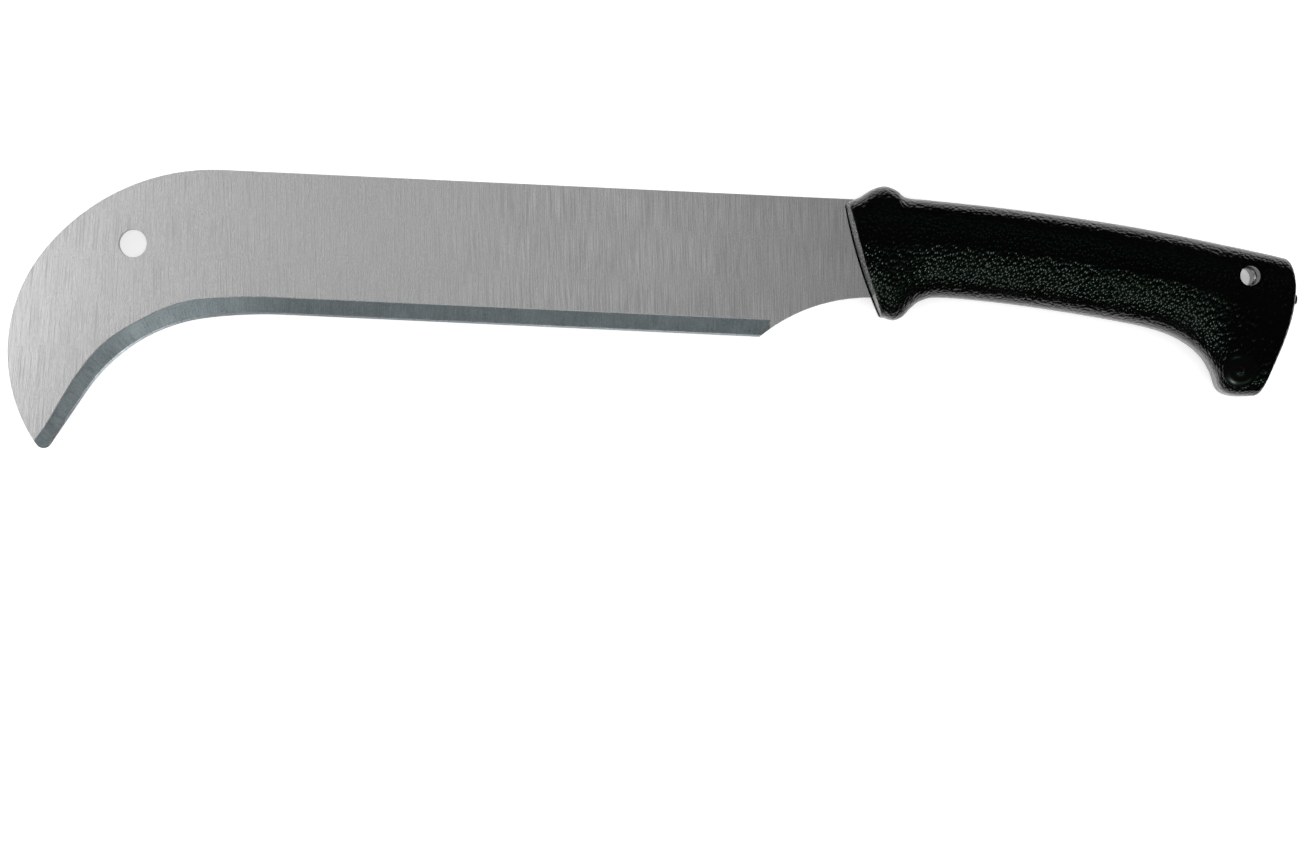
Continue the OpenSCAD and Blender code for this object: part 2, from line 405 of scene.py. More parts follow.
@dataclass(frozen=True)
class GroundSteel:
    """Spring steel with grinding lines, which draw a reflection out across themselves.

    Sizes are in millimetres. Real grinding lines are several times closer, too fine to show, and are drawn as
    coarse as they need to be.
    """

    name: str
    colour: str
    dark_colour: str
    roughness: float
    line_pitch: float
    line_length: float
    line_depth: float
    line_strength: float
    anisotropic: float
    smoother: float  # how much smoother the bright streaks are
    rougher: float  # how much rougher the dark ones are

    def finish(self, tree: bpy.types.NodeTree, shader: bpy.types.Node, tone: bpy.types.NodeSocket,
               share: bpy.types.NodeSocket, fine: bpy.types.NodeSocket) -> None:
        """Dresses the shader.

        Args:
            tree: the material's tree.
            shader: its shader.
            tone: the colour.
            share: where the steel is bright and smooth, from 0 to 1.
            fine: the height of the grinding lines, from 0 to 1.
        """
        rough = add(tree, "ShaderNodeMapRange", {0: share, 3: self.roughness + self.rougher,
                                                 4: self.roughness - self.smoother})
        bump = add(tree, "ShaderNodeBump", {"Height": fine, "Strength": self.line_strength,
                                            "Distance": self.line_depth * MM})
        tangent = add(tree, "ShaderNodeTangent", direction_type="UV_MAP", uv_map=GRIND_MAP)
        feed(tree, shader, {"Base Color": tone, "Roughness": rough.outputs[0], "Normal": bump.outputs[0],
                            "Tangent": tangent.outputs[0], "Metallic": 1.0, "Anisotropic": self.anisotropic})

    def streaked(self, tree: bpy.types.NodeTree, mixed: bpy.types.NodeSocket,
                 window: tuple[float, float]) -> tuple[bpy.types.NodeSocket, bpy.types.NodeSocket]:
        """Turns a pattern into dark and bright streaks.

        Args:
            tree: the material's tree.
            mixed: the pattern.
            window: the pattern's values that give the dark and the bright colour.

        Returns:
            The bright colour's share, and the colour.
        """
        share = add(tree, "ShaderNodeMapRange", {0: mixed, 1: window[0], 2: window[1]}).outputs[0]
        tone = add(tree, "ShaderNodeMix", {0: share, 6: linear(self.dark_colour), 7: linear(self.colour)},
                   data_type="RGBA").outputs[2]
        return share, tone


@dataclass(frozen=True)
class CrossGroundSteel(GroundSteel):
    """Spring steel, cold rolled and then ground across the blade on a belt.

    The belt leaves fine lines across the blade that fan out round the hook. They spread a reflection along the
    blade, so that the flats shade softly from light to dark, with streaks. The streaks are calm on the straight
    blade, and stronger in the hook and near the handle.
    """

    name: str = "spring_steel_cross_ground"
    colour: str = "D8D8D8"
    dark_colour: str = "AEAEAE"
    roughness: float = 0.27
    line_pitch: float = 0.30
    line_length: float = 17.0
    line_depth: float = 0.004
    line_strength: float = 0.6
    anisotropic: float = 0.6
    smoother: float = 0.04
    rougher: float = 0.04
    fan_at: tuple[float, float] = (-215.0, 565.0)  # where the lines of the hook would meet
    fan_reach: float = 600.0  # how far from there they are line_pitch apart
    lean: float = 0.073  # how far the lines lean, to a millimetre of height
    wander: float = 0.5  # how far they swing to either side
    wander_size: float = 45.4545
    band_pitch: float = 4.0
    cloud_size: float = 22.2222
    grit_size: float = 0.76923
    shares: tuple[float, float, float, float] = (0.70, 0.10, 0.10, 0.10)  # of lines, bands, clouds and grit
    window: tuple[float, float] = (0.40, 0.60)  # their sum where the steel is dark and where it is bright
    hook_from: float = -185.0
    hook_to: float = -255.0
    root_from: float = -150.0
    root_to: float = -115.0
    calm: float = 0.36  # how strong the streaks are on the straight blade
    stirred: float = 1.35  # and in the hook
    restless: float = 0.38  # what they gain near the handle

    def fan(self, tree: bpy.types.NodeTree, where: bpy.types.NodeSocket, parts: bpy.types.bpy_prop_collection,
            datum: Datum) -> bpy.types.NodeSocket:
        """Adds the coordinate that counts the lines: straight behind the fan's middle, and round it ahead.

        Args:
            tree: the material's tree.
            where: the place in metres.
            parts: its X, Y and Z.
            datum: the drawing's origin.

        Returns:
            The coordinate, in metres.
        """
        middle_x, middle_y = datum.x + self.fan_at[0] * MM, datum.y + self.fan_at[1] * MM
        wave = add(tree, "ShaderNodeTexNoise", {"Vector": where, "Scale": 1 / (self.wander_size * MM),
                                                "Detail": 1.0}).outputs["Fac"]
        swing = add(tree, "ShaderNodeMath", {0: wave, 1: self.wander * MM * 2}, operation="MULTIPLY").outputs[0]
        leant = add(tree, "ShaderNodeMath", {0: parts["Y"], 1: self.lean, 2: parts["X"]},
                    operation="MULTIPLY_ADD").outputs[0]
        across = add(tree, "ShaderNodeMath", {0: leant, 1: middle_x}, operation="SUBTRACT").outputs[0]
        swung = add(tree, "ShaderNodeMath", {0: across, 1: swing}, operation="ADD").outputs[0]
        behind, ahead = (add(tree, "ShaderNodeMath", {0: swung, 1: 0.0}, operation=way).outputs[0]
                         for way in ("MAXIMUM", "MINIMUM"))
        below = add(tree, "ShaderNodeMath", {0: middle_y, 1: parts["Y"]}, operation="SUBTRACT").outputs[0]
        angle = add(tree, "ShaderNodeMath", {0: ahead, 1: below}, operation="ARCTAN2").outputs[0]
        return add(tree, "ShaderNodeMath", {0: angle, 1: self.fan_reach * MM, 2: behind},
                   operation="MULTIPLY_ADD").outputs[0]

    def lines(self, tree: bpy.types.NodeTree, fanned: bpy.types.NodeSocket, along: bpy.types.NodeSocket,
              pitch: float, detail: float, layer: float) -> bpy.types.NodeSocket:
        """Adds noise that is short along the blade and long across it.

        Args:
            tree: the material's tree.
            fanned: the coordinate that counts the lines.
            along: the coordinate along them.
            pitch: the distance between them.
            detail: how finely they are broken up.
            layer: the slice of the noise.

        Returns:
            The noise, from 0 to 1.
        """
        x, y = (add(tree, "ShaderNodeMath", {0: value, 1: 1 / (size * MM)}, operation="MULTIPLY").outputs[0]
                for value, size in ((fanned, pitch), (along, self.line_length)))
        stretched = add(tree, "ShaderNodeCombineXYZ", {0: x, 1: y, 2: layer}).outputs[0]
        return add(tree, "ShaderNodeTexNoise", {"Vector": stretched, "Scale": 1.0, "Detail": detail,
                                                "Roughness": 0.6}).outputs["Fac"]

    def build(self, datum: Datum) -> bpy.types.Material:
        """Makes the material.

        Args:
            datum: the drawing's origin, which centres the fan of grinding lines.

        Returns:
            The material.
        """
        material, tree, shader = blank(self.name)
        where = add(tree, "ShaderNodeTexCoord").outputs["Object"]
        parts = add(tree, "ShaderNodeSeparateXYZ", {0: where}).outputs
        fanned = self.fan(tree, where, parts, datum)
        fine = self.lines(tree, fanned, parts["Y"], self.line_pitch, detail=3.0, layer=0.0)
        broad = self.lines(tree, fanned, parts["Y"], self.band_pitch, detail=2.0, layer=7.3)
        cloud, grit = (add(tree, "ShaderNodeTexNoise", {"Vector": where, "Scale": 1 / (size * MM),
                                                        "Detail": detail}).outputs["Fac"]
                       for size, detail in ((self.cloud_size, 3.0), (self.grit_size, 1.0)))
        mixed = weighted(tree, list(zip((fine, broad, cloud, grit), self.shares)))
        in_hook, at_root = (
            add(tree, "ShaderNodeMapRange", {0: parts["X"], 1: datum.x + start * MM, 2: datum.x + end * MM,
                                             3: low, 4: high}).outputs[0]
            for start, end, low, high in ((self.hook_from, self.hook_to, self.calm, self.stirred),
                                          (self.root_from, self.root_to, 0.0, self.restless)))
        coarse = add(tree, "ShaderNodeMath", {0: in_hook, 1: at_root}, operation="ADD").outputs[0]
        even = add(tree, "ShaderNodeMath", {0: mixed, 1: 0.5}, operation="SUBTRACT").outputs[0]
        even = add(tree, "ShaderNodeMath", {0: even, 1: coarse, 2: 0.5}, operation="MULTIPLY_ADD").outputs[0]
        share, tone = self.streaked(tree, even, self.window)
        self.finish(tree, shader, tone, share, fine)
        return material


@dataclass(frozen=True)
class WheelGroundSteel(GroundSteel):
    """The same steel, ground on a wet wheel along an edge.

    The wheel cuts short lines from the bevel's top to the edge. They catch less light than the flats, and their
    darker, bluer grey colour paints that shade in. Between painted_light_from and painted_light_to along the edge
    the
    colour is scaled by painted_light_gain: a painted highlight on the bevel, and a painted shade on the honed
    strip.
    """

    line_pitch: float = 0.35
    line_length: float = 6.0
    line_depth: float = 0.006
    line_strength: float = 0.7
    anisotropic: float = 0.55
    smoother: float = 0.05
    rougher: float = 0.06
    cloud_size: float = 7.14286
    grit_size: float = 0.76923
    shares: tuple[float, float, float] = (0.5, 0.2, 0.3)  # of lines, clouds and grit
    window: tuple[float, float] = (0.38, 0.62)
    painted_light_from: tuple[float, float] = (172.0, 214.0)  # where the painted highlight sets in, and where it is full
    painted_light_to: tuple[float, float] = (231.0, 240.0)  # where it fades, and where only painted_light_left of it is left
    painted_light_left: float = 0.55
    painted_light_gain: float = 0.9  # how much the painted highlight brightens the colour
    painted_light_ragged: float = 3.0  # how far the lines tear its ends

    def build(self) -> bpy.types.Material:
        """Makes the material, whose lines read the blade's own map: run along the edge, and depth from it.

        Returns:
            The material.
        """
        material, tree, shader = blank(self.name)
        where = add(tree, "ShaderNodeUVMap", uv_map=GRIND_MAP).outputs[0]
        fitted = add(tree, "ShaderNodeMapping", {"Vector": where, "Scale": (
            1 / (self.line_pitch * MAP_MM), 1 / (self.line_length * MAP_MM), 1.0)}).outputs[0]
        fine = add(tree, "ShaderNodeTexNoise", {"Vector": fitted, "Scale": 1.0, "Detail": 4.0,
                                                "Roughness": 0.65}).outputs["Fac"]
        cloud, grit = (add(tree, "ShaderNodeTexNoise", {"Vector": where, "Scale": 1 / (size * MAP_MM),
                                                        "Detail": 2.0}).outputs["Fac"]
                       for size in (self.cloud_size, self.grit_size))
        mixed = weighted(tree, list(zip((fine, cloud, grit), self.shares)))
        share, tone = self.streaked(tree, mixed, self.window)
        run = add(tree, "ShaderNodeSeparateXYZ", {0: where}).outputs["X"]
        ragged = add(tree, "ShaderNodeMath", {0: fine, 1: self.painted_light_ragged * MAP_MM, 2: run},
                     operation="MULTIPLY_ADD").outputs[0]
        start, stop = (add(tree, "ShaderNodeMapRange", {0: ragged, 1: low * MAP_MM, 2: high * MAP_MM, 3: first,
                                                        4: last}).outputs[0]
                       for (low, high), first, last in ((self.painted_light_from, 0.0, 1.0),
                                                        (self.painted_light_to, 1.0, self.painted_light_left)))
        # the band along the edge whose colour is scaled: a painted highlight, or a painted shade where the gain
        # is below 0
        painted_light = add(tree, "ShaderNodeMath", {0: start, 1: stop}, operation="MULTIPLY").outputs[0]
        gain = add(tree, "ShaderNodeMath", {0: painted_light, 1: self.painted_light_gain, 2: 1.0},
                   operation="MULTIPLY_ADD").outputs[0]
        tone = add(tree, "ShaderNodeVectorMath", {0: tone, 3: gain}, operation="SCALE").outputs[0]
        self.finish(tree, shader, tone, share, fine)
        return material


@dataclass(frozen=True)
class MouldedPlastic:
    """Black polypropylene, injection moulded.

    A faint green cast shows in its highlights. The mould's leather grain breaks them into sparks, and where the
    mould was polished the plastic has a soft, even sheen. On the front wall a speckled pale grey is painted in: a
    painted sheen that stands in for the light the wall catches.
    """

    name: str
    grained: bool
    colour: str = "060805"
    worn_colour: str = "0D100B"
    # pale grey painted over the front wall in specks: a painted sheen standing in for the light the wall catches
    painted_sheen_colour: str = "8C908A"
    roughness: float = 0.16
    smoother: float = 0.05
    rougher: float = 0.07
    sheen_level: float = 0.5
    ior: float = 1.49
    cloud_size: float = 16.6667
    cloud_window: tuple[float, float] = (0.3, 0.7)
    sheen_speckle_size: float = 0.66667
    sheen_speckle_window: tuple[float, float] = (0.4, 0.6)
    sheen_speckle_least: float = 0.1  # how much of the painted sheen shows between its specks
    grit_size: float = 0.3125
    grit_depth: float = 0.012
    grit_strength: float = 0.35
    pebble_depth: float = 0.22

    def build(self) -> bpy.types.Material:
        """Makes the material, with the fine part of the leather grain where the mask asks for it, and a pale
        painted sheen, a painted reflection, where its own mask asks for it.

        Returns:
            The material.
        """
        material, tree, shader = blank(self.name)
        where = add(tree, "ShaderNodeTexCoord").outputs["Object"]
        cloud, grit = (add(tree, "ShaderNodeTexNoise", {"Vector": where, "Scale": 1 / (size * MM),
                                                        "Detail": detail}).outputs["Fac"]
                       for size, detail in ((self.cloud_size, 4.0), (self.grit_size, 2.0)))
        tone = add(tree, "ShaderNodeMix", {0: cloud, 6: linear(self.colour), 7: linear(self.worn_colour)},
                   data_type="RGBA").outputs[2]
        low, high = self.cloud_window
        rough = add(tree, "ShaderNodeMapRange", {0: cloud, 1: low, 2: high, 3: self.roughness - self.smoother,
                                                 4: self.roughness + self.rougher}).outputs[0]
        height = add(tree, "ShaderNodeBump", {"Height": grit, "Strength": self.grit_strength,
                                              "Distance": self.grit_depth * MM}).outputs[0]
        if self.grained:
            dome = leather_domes(tree, where)
            mask, painted_sheen = (add(tree, "ShaderNodeAttribute", attribute_name=name).outputs["Fac"]
                           for name in (GRAIN_MASK, PAINTED_SHEEN_MASK))
            sheen_speckle = add(tree, "ShaderNodeTexNoise", {"Vector": where, "Scale": 1 / (self.sheen_speckle_size * MM),
                                                     "Detail": 2.0}).outputs["Fac"]
            low, high = self.sheen_speckle_window
            patchy = add(tree, "ShaderNodeMapRange", {0: sheen_speckle, 1: low, 2: high,
                                                      3: self.sheen_speckle_least}).outputs[0]
            share = add(tree, "ShaderNodeMath", {0: painted_sheen, 1: patchy}, operation="MULTIPLY").outputs[0]
            # paints the pale grey sheen, a painted reflection, over the front wall
            tone = add(tree, "ShaderNodeMix", {0: share, 6: tone, 7: linear(self.painted_sheen_colour)},
                       data_type="RGBA").outputs[2]
            domed = add(tree, "ShaderNodeMath", {0: dome, 1: -1.0}, operation="MULTIPLY").outputs[0]
            masked = add(tree, "ShaderNodeMath", {0: domed, 1: mask}, operation="MULTIPLY").outputs[0]
            height = add(tree, "ShaderNodeBump", {"Height": masked, "Distance": self.pebble_depth * MM,
                                                  "Strength": 1.0, "Normal": height}).outputs[0]
        feed(tree, shader, {"Base Color": tone, "Roughness": rough, "Normal": height, "IOR": self.ior,
                            "Specular IOR Level": self.sheen_level})
        return material


@dataclass
class HookedBlade:
    """The steel: hook, straight blade and tang, cut from one sheet and ground.

    Sizes are those of the CAD model. Bevel waves are run along the edge and width. Holes are x, y and radius. The
    last fields set the mesh.
    """

    blade_l: float = 299.5
    blade_w: float = 51.0
    blade_t: float = 3.0
    bevel_w: float = 6.2
    bevel_waves: tuple[tuple[float, float], ...] = (
        (0, 6.2), (150, 6.1), (174, 6.0), (195, 6.4), (209, 7.0), (225, 6.2), (239, 6.8), (250, 6.2),
        (260, 5.9), (268, 5.4), (273, 5.0), (282, 5.4),
    )
    wave_blur: float = 4.0  # how far to either side their corners are smoothed
    edge_t: float = 0.4
    choil_r: float = 62.0
    choil_at: tuple[float, float] = (12.0, -35.0)
    hook_l: float = 99.5
    shoulder_r: float = 78.0
    shoulder_turn: float = 55.0
    nose_r: float = 57.995
    sweep_r: float = 172.0
    sweep_turn: float = 9.6
    throat_r: float = 61.0
    throat_turn: float = 49.0
    tip_r: float = 3.0
    bevel_end: float = -26.0
    hang_hole: tuple[float, float, float] = (-256.3, -27.9, 5.0)
    lanyard_hole: tuple[float, float, float] = (144.0, -21.4, 3.1)
    locks: tuple[tuple[float, float, float], ...] = ((46.0, -17.6, 4.0), (96.0, -19.4, 4.0))
    tang_start: float = 17.0
    tang_sides: tuple[float, float] = (6.0, 30.0)
    eye_r: float = 7.5
    honed_w: float = 0.7
    honed_edge: float = 0.21
    burr_w: float = 0.3
    rim_r: float = 0.12
    ring_r: float = 3.9  # the dish round the lanyard hole
    ring_slope: float = 0.36
    corner_r: float = 1.3  # where the bevel ends, and how steep its end is
    wall_slope: float = 1.1
    point_step: float = 1.0  # the distances between points, in arcs, in the dish, and so on
    ring_step: float = 0.5
    corner_step: float = 0.2
    spine_step: float = 6.0
    edge_step: float = 4.0
    rim_shares: tuple[float, ...] = (0.0, 0.3, 1.0)  # lines beside an outline, as shares of its rounding
    corner_foot: float = 0.6  # how far the foot of the bevel's end lies from its top
    past_tip: float = 6.0  # how far the bevel's lines run on past the tip
    keen: float = 0.02  # a side of the outline that is nearer to the edge's line than this stays keen
    over: float = 0.01  # a face may lie so far past that line and still be ground
    upright: float = 0.75  # a face whose normal points up less than this is a cut side
    centres: dict[str, np.ndarray | float] = field(init=False)

    def __post_init__(self) -> None:
        """Works out the centres of the hook's arcs and the place of the tip."""
        nose_from = 90 + self.shoulder_turn
        shoulder = np.array([self.nose_r - self.blade_l - (self.shoulder_r - self.nose_r) * unit(nose_from)[0],
                             -self.shoulder_r])
        nose = shoulder + (self.shoulder_r - self.nose_r) * unit(nose_from)
        sweep = np.array([self.hook_l - self.blade_l, -self.blade_w - self.sweep_r])
        throat_from = 90 + self.sweep_turn
        throat_to = throat_from + self.throat_turn
        throat = sweep + (self.sweep_r - self.throat_r) * unit(throat_from)
        inner = unit(throat_to + 90)
        beside = throat + (self.throat_r + self.tip_r) * unit(throat_to)
        tip = beside + far_side(beside, inner, nose, self.nose_r - self.tip_r) * inner
        self.centres = {"shoulder": shoulder, "nose": nose, "sweep": sweep, "throat": throat, "tip": tip,
                        "nose_from": nose_from, "throat_from": throat_from, "throat_to": throat_to,
                        "turn": bearing(tip - nose) + 360}

    def edge_place(self, points: np.ndarray) -> tuple[np.ndarray, np.ndarray]:
        """Gives each point its place by the cutting edge.

        Args:
            points: drawn points, one to a row.

        Returns:
            The run along the edge from the bevel's end, and the depth from the edge into the steel.
        """
        c = self.centres
        run = self.bevel_end - points[:, 0]
        depth = points[:, 1] + self.blade_w
        start = self.bevel_end - c["sweep"][0]
        spans = [(c["sweep"], self.sweep_r, 90.0, c["throat_from"]),
                 (c["throat"], self.throat_r, c["throat_from"], c["throat_to"])]
        for centre, radius, first, last in spans:
            away = points - centre
            angle = np.degrees(np.arctan2(away[:, 1], away[:, 0]))
            angle = np.where(angle < -90, angle + 360, angle)
            inside = (angle > first) & (points[:, 0] < c["sweep"][0])
            turned = np.radians(np.clip(angle, first, last) - first) * radius
            run = np.where(inside, start + turned, run)
            depth = np.where(inside, np.hypot(*away.T) - radius, depth)
            start += math.radians(last - first) * radius
        away = points - c["throat"]
        ahead, out = away @ unit(c["throat_to"] + 90), away @ unit(c["throat_to"])
        beyond = (ahead > 0) & (points[:, 0] < c["throat"][0]) & (out > 0)
        return np.where(beyond, start + ahead, run), np.where(beyond, out - self.throat_r, depth)

    def width_at(self, run: np.ndarray) -> np.ndarray:
        """The bevel's width along the edge. A hand held it to the wheel, so it wanders in the bend.

        Args:
            run: runs along the edge.

        Returns:
            The width at each.
        """
        at, width = np.array(self.bevel_waves).T
        shifts = np.linspace(-self.wave_blur, self.wave_blur, 9)
        return sum(np.interp(run + shift, at, width) for shift in shifts) / len(shifts)

    def edge_point(self, run: float, depth: float) -> np.ndarray:
        """Finds a drawn point by its place at the cutting edge.

        Args:
            run: how far it is along the edge, from the bevel's end.
            depth: how far it is from the edge.

        Returns:
            The point.
        """
        c = self.centres
        straight = self.bevel_end - c["sweep"][0]
        if run < straight:
            return np.array([self.bevel_end - run, -self.blade_w + depth])
        swept = math.degrees((run - straight) / self.sweep_r)
        if swept < self.sweep_turn:
            return c["sweep"] + (self.sweep_r + depth) * unit(90 + swept)
        left = run - straight - math.radians(self.sweep_turn) * self.sweep_r
        turned = min(math.degrees(left / self.throat_r), self.throat_turn)
        beyond = left - math.radians(turned) * self.throat_r
        way = c["throat_from"] + turned
        return c["throat"] + (self.throat_r + depth) * unit(way) + beyond * unit(way + 90)

    def outline(self) -> np.ndarray:
        """Draws the steel, from the spine's end round the hook, the edge and the tang.

        Returns:
            The closed outline, one point to a row, with the steel on its left.
        """
        c, step = self.centres, self.point_step
        eye = np.array(self.lanyard_hole[:2])
        high, low = (np.array([self.tang_start, -side]) for side in self.tang_sides)
        choil = np.array([self.choil_at[0], self.choil_at[1] - self.choil_r])
        choil_from = 180 - math.degrees(math.asin((-self.blade_w - choil[1]) / self.choil_r))
        top, bottom = (bearing(p - eye) - side * math.degrees(math.acos(self.eye_r / np.linalg.norm(p - eye)))
                       for p, side in ((high, 1), (low, -1)))
        heel = choil[0] + self.choil_r * unit(choil_from)[0] - step
        return np.vstack([
            level_line(self.tang_start, c["shoulder"][0] + step, -self.spine_step, 0.0),
            arc(c["shoulder"], self.shoulder_r, 90, c["nose_from"], step),
            arc(c["nose"], self.nose_r, c["nose_from"], c["turn"], step)[1:],
            arc(c["tip"], self.tip_r, c["turn"], c["throat_to"] + 180, step / 4)[1:],
            arc(c["throat"], self.throat_r, c["throat_to"], c["throat_from"], step),
            arc(c["sweep"], self.sweep_r, c["throat_from"], 90, step)[1:],
            level_line(c["sweep"][0] + self.edge_step, heel, self.edge_step, -self.blade_w),
            arc(choil, self.choil_r, choil_from, 90, step),
            [(self.tang_start, self.choil_at[1]), low],
            arc(eye, self.eye_r, bottom, top, step / 2),
            [high],
        ])

    def holes(self) -> list[np.ndarray]:
        """Outlines of the hanging hole, the lanyard hole and the locking holes, with the steel on their left."""
        return [arc(np.array(h[:2]), h[2], 0, 360, self.point_step / 4)[:-1][::-1]
                for h in (self.hang_hole, self.lanyard_hole, *self.locks)]

    def ground(self, points: np.ndarray) -> np.ndarray:
        """Half the thickness that the grinding of the bevel and the honing of the edge leave.

        Args:
            points: drawn points.

        Returns:
            The height of the upper face over the mid plane.
        """
        half = self.blade_t / 2
        run, depth = self.edge_place(points)
        width = self.width_at(run)
        plane = self.edge_t / 2 + (half - self.edge_t / 2) / width * depth
        honed = self.honed_edge + (plane - self.honed_edge) * np.clip(depth / self.honed_w, 0, 1)
        plane = np.where(depth < self.honed_w, honed, plane)
        gap_x, gap_d = np.clip(run, 0, None), np.clip(width - depth, 0, None)
        bend = np.hypot(np.clip(self.corner_r - gap_x, 0, None), np.clip(self.corner_r - gap_d, 0, None))
        in_corner = (gap_x < self.corner_r) & (gap_d < self.corner_r)
        wall = self.wall_slope * np.where(in_corner, np.clip(self.corner_r - bend, 0, None), gap_x)
        return np.where((depth < width) & (run > 0), np.minimum(half, np.maximum(plane, half - wall)), half)

    def clear_of(self, points: np.ndarray, loops: list[np.ndarray]) -> np.ndarray:
        """Measures how far points are from the steel's outlines, but for the cutting edge, which stays keen.

        Args:
            points: drawn points.
            loops: the outline and the holes.

        Returns:
            The distances.
        """
        start = np.vstack(loops)
        side = np.vstack([np.roll(loop, -1, 0) for loop in loops]) - start
        run, depth = self.edge_place(start + side / 2)
        blunt = (np.abs(depth) >= self.keen) | (run <= 0)
        start, side = start[blunt], side[blunt]
        away = np.empty(len(points))
        for k in range(0, len(points), BATCH):
            rel = points[k : k + BATCH, None] - start[None]
            t = np.clip((rel * side).sum(2) / np.maximum((side * side).sum(1), TINY), 0, 1)
            away[k : k + BATCH] = np.sqrt(((rel - t[..., None] * side) ** 2).sum(2)).min(1)
        return away

    def height_at(self, points: np.ndarray, loops: list[np.ndarray]) -> np.ndarray:
        """Half the thickness of the steel, with its ground bevel, dished ring and rounded rims.

        Args:
            points: drawn points.
            loops: the outline and the holes.

        Returns:
            The height of the upper face over the mid plane.
        """
        ring = np.clip(self.ring_r - np.hypot(*(points - self.lanyard_hole[:2]).T), 0, None)
        short = np.clip(self.rim_r - self.clear_of(points, loops), 0, None)
        rounded = self.blade_t / 2 - self.rim_r + np.sqrt(np.clip(self.rim_r ** 2 - short ** 2, 0, None))
        return np.minimum(self.ground(points) - self.ring_slope * ring, rounded)

    def build(self, datum: Datum) -> bpy.types.Object:
        """Builds the blade as one closed mesh, and maps it for its grinding lines.

        Args:
            datum: the drawing's origin in the part's frame.

        Returns:
            The blade, not dressed yet.
        """
        loops = [self.outline(), *self.holes()]
        lines = [(inset(loop, share * self.rim_r), True) for loop in loops for share in self.rim_shares]
        lines.append((arc(np.array(self.lanyard_hole[:2]), self.ring_r, 0, 360, self.ring_step)[:-1], True))
        runs = np.arange(0, self.edge_place(self.centres["tip"][None])[0][0] + self.past_tip, self.point_step)
        width = self.width_at(runs)
        for depths in (np.full(len(runs), self.honed_w), width, width + self.burr_w):
            lines.append((np.array([self.edge_point(float(r), float(d)) for r, d in zip(runs, depths)]), False))
        end, top = self.bevel_end, -self.blade_w + self.bevel_w
        middle = np.array([end - self.corner_r, top - self.corner_r])
        corner = arc(middle, self.corner_r, 90, 0, self.corner_step)
        lines += [(np.vstack([corner, [(end, -self.blade_w)]]), False), (corner - self.corner_foot, False)]
        made = plate("blade_steel", lines, loops, lambda where: self.height_at(where, loops), datum,
                     smooth=False)
        self.map_grinding(made, datum)
        return made

    def map_grinding(self, made: bpy.types.Object, datum: Datum) -> None:
        """Gives every face its finish, and a map that runs along and across its grinding lines.

        Args:
            made: the blade.
            datum: the drawing's origin.
        """
        mesh = made.data
        mesh.uv_layers.new(name=GRIND_MAP)
        middles = np.array([p.center for p in mesh.polygons])
        run, depth = self.edge_place((middles[:, :2] - (datum.x, datum.y)) / MM)
        width = self.width_at(run)
        by_edge = (run > 0) & (depth < width) & (depth > -self.over)
        on_burr = (depth > width) & (depth < width + self.burr_w)
        bright = (run > 0) & ((by_edge & (depth < self.honed_w)) | on_burr)
        cut = (np.abs([p.normal.z for p in mesh.polygons]) < self.upright) & ~by_edge
        finish = np.select([cut, bright, by_edge], [Side.SHEARED.value, Side.HONED.value, Side.BEVEL.value],
                           Side.FLAT.value)
        mesh.polygons.foreach_set("material_index", finish.astype(np.int32))
        spot = np.array([v.co for v in mesh.vertices])[:, :2]
        corner = np.array([loop.vertex_index for loop in mesh.loops])
        along = np.column_stack(self.edge_place((spot - (datum.x, datum.y)) / MM)) * MAP_MM
        on_edge = np.repeat(np.isin(finish, (Side.BEVEL.value, Side.HONED.value)),
                            [len(p.vertices) for p in mesh.polygons])
        uv = np.where(on_edge[:, None], along[corner], (spot * (MAP_MM / MM))[corner])
        mesh.uv_layers[GRIND_MAP].data.foreach_set("uv", uv.astype(np.float32).ravel())

    def dress(self, made: bpy.types.Object, datum: Datum) -> None:
        """Gives the blade its finishes in the order of Side.

        Args:
            made: the blade.
            datum: the drawing's origin.
        """
        finishes = [
            CrossGroundSteel().build(datum),
            # the bevel's darker, bluer grey colour is painted shade: it paints in the light that the bevel
            # catches less of than the flats
            WheelGroundSteel("spring_steel_wheel_ground", "868C8D", "676D6F", 0.34).build(),
            # the honed strip is painted darker in the band of the bevel's painted highlight: a painted shade
            WheelGroundSteel("spring_steel_honed", "D2D6D7", "B4B9BA", 0.22, anisotropic=0.3,
                             painted_light_gain=-0.3).build(),
            WheelGroundSteel("spring_steel_sheared", "9B9DA0", "77797C", 0.42, painted_light_gain=0.0).build(),
        ]
        for material in finishes:
            made.data.materials.append(material)


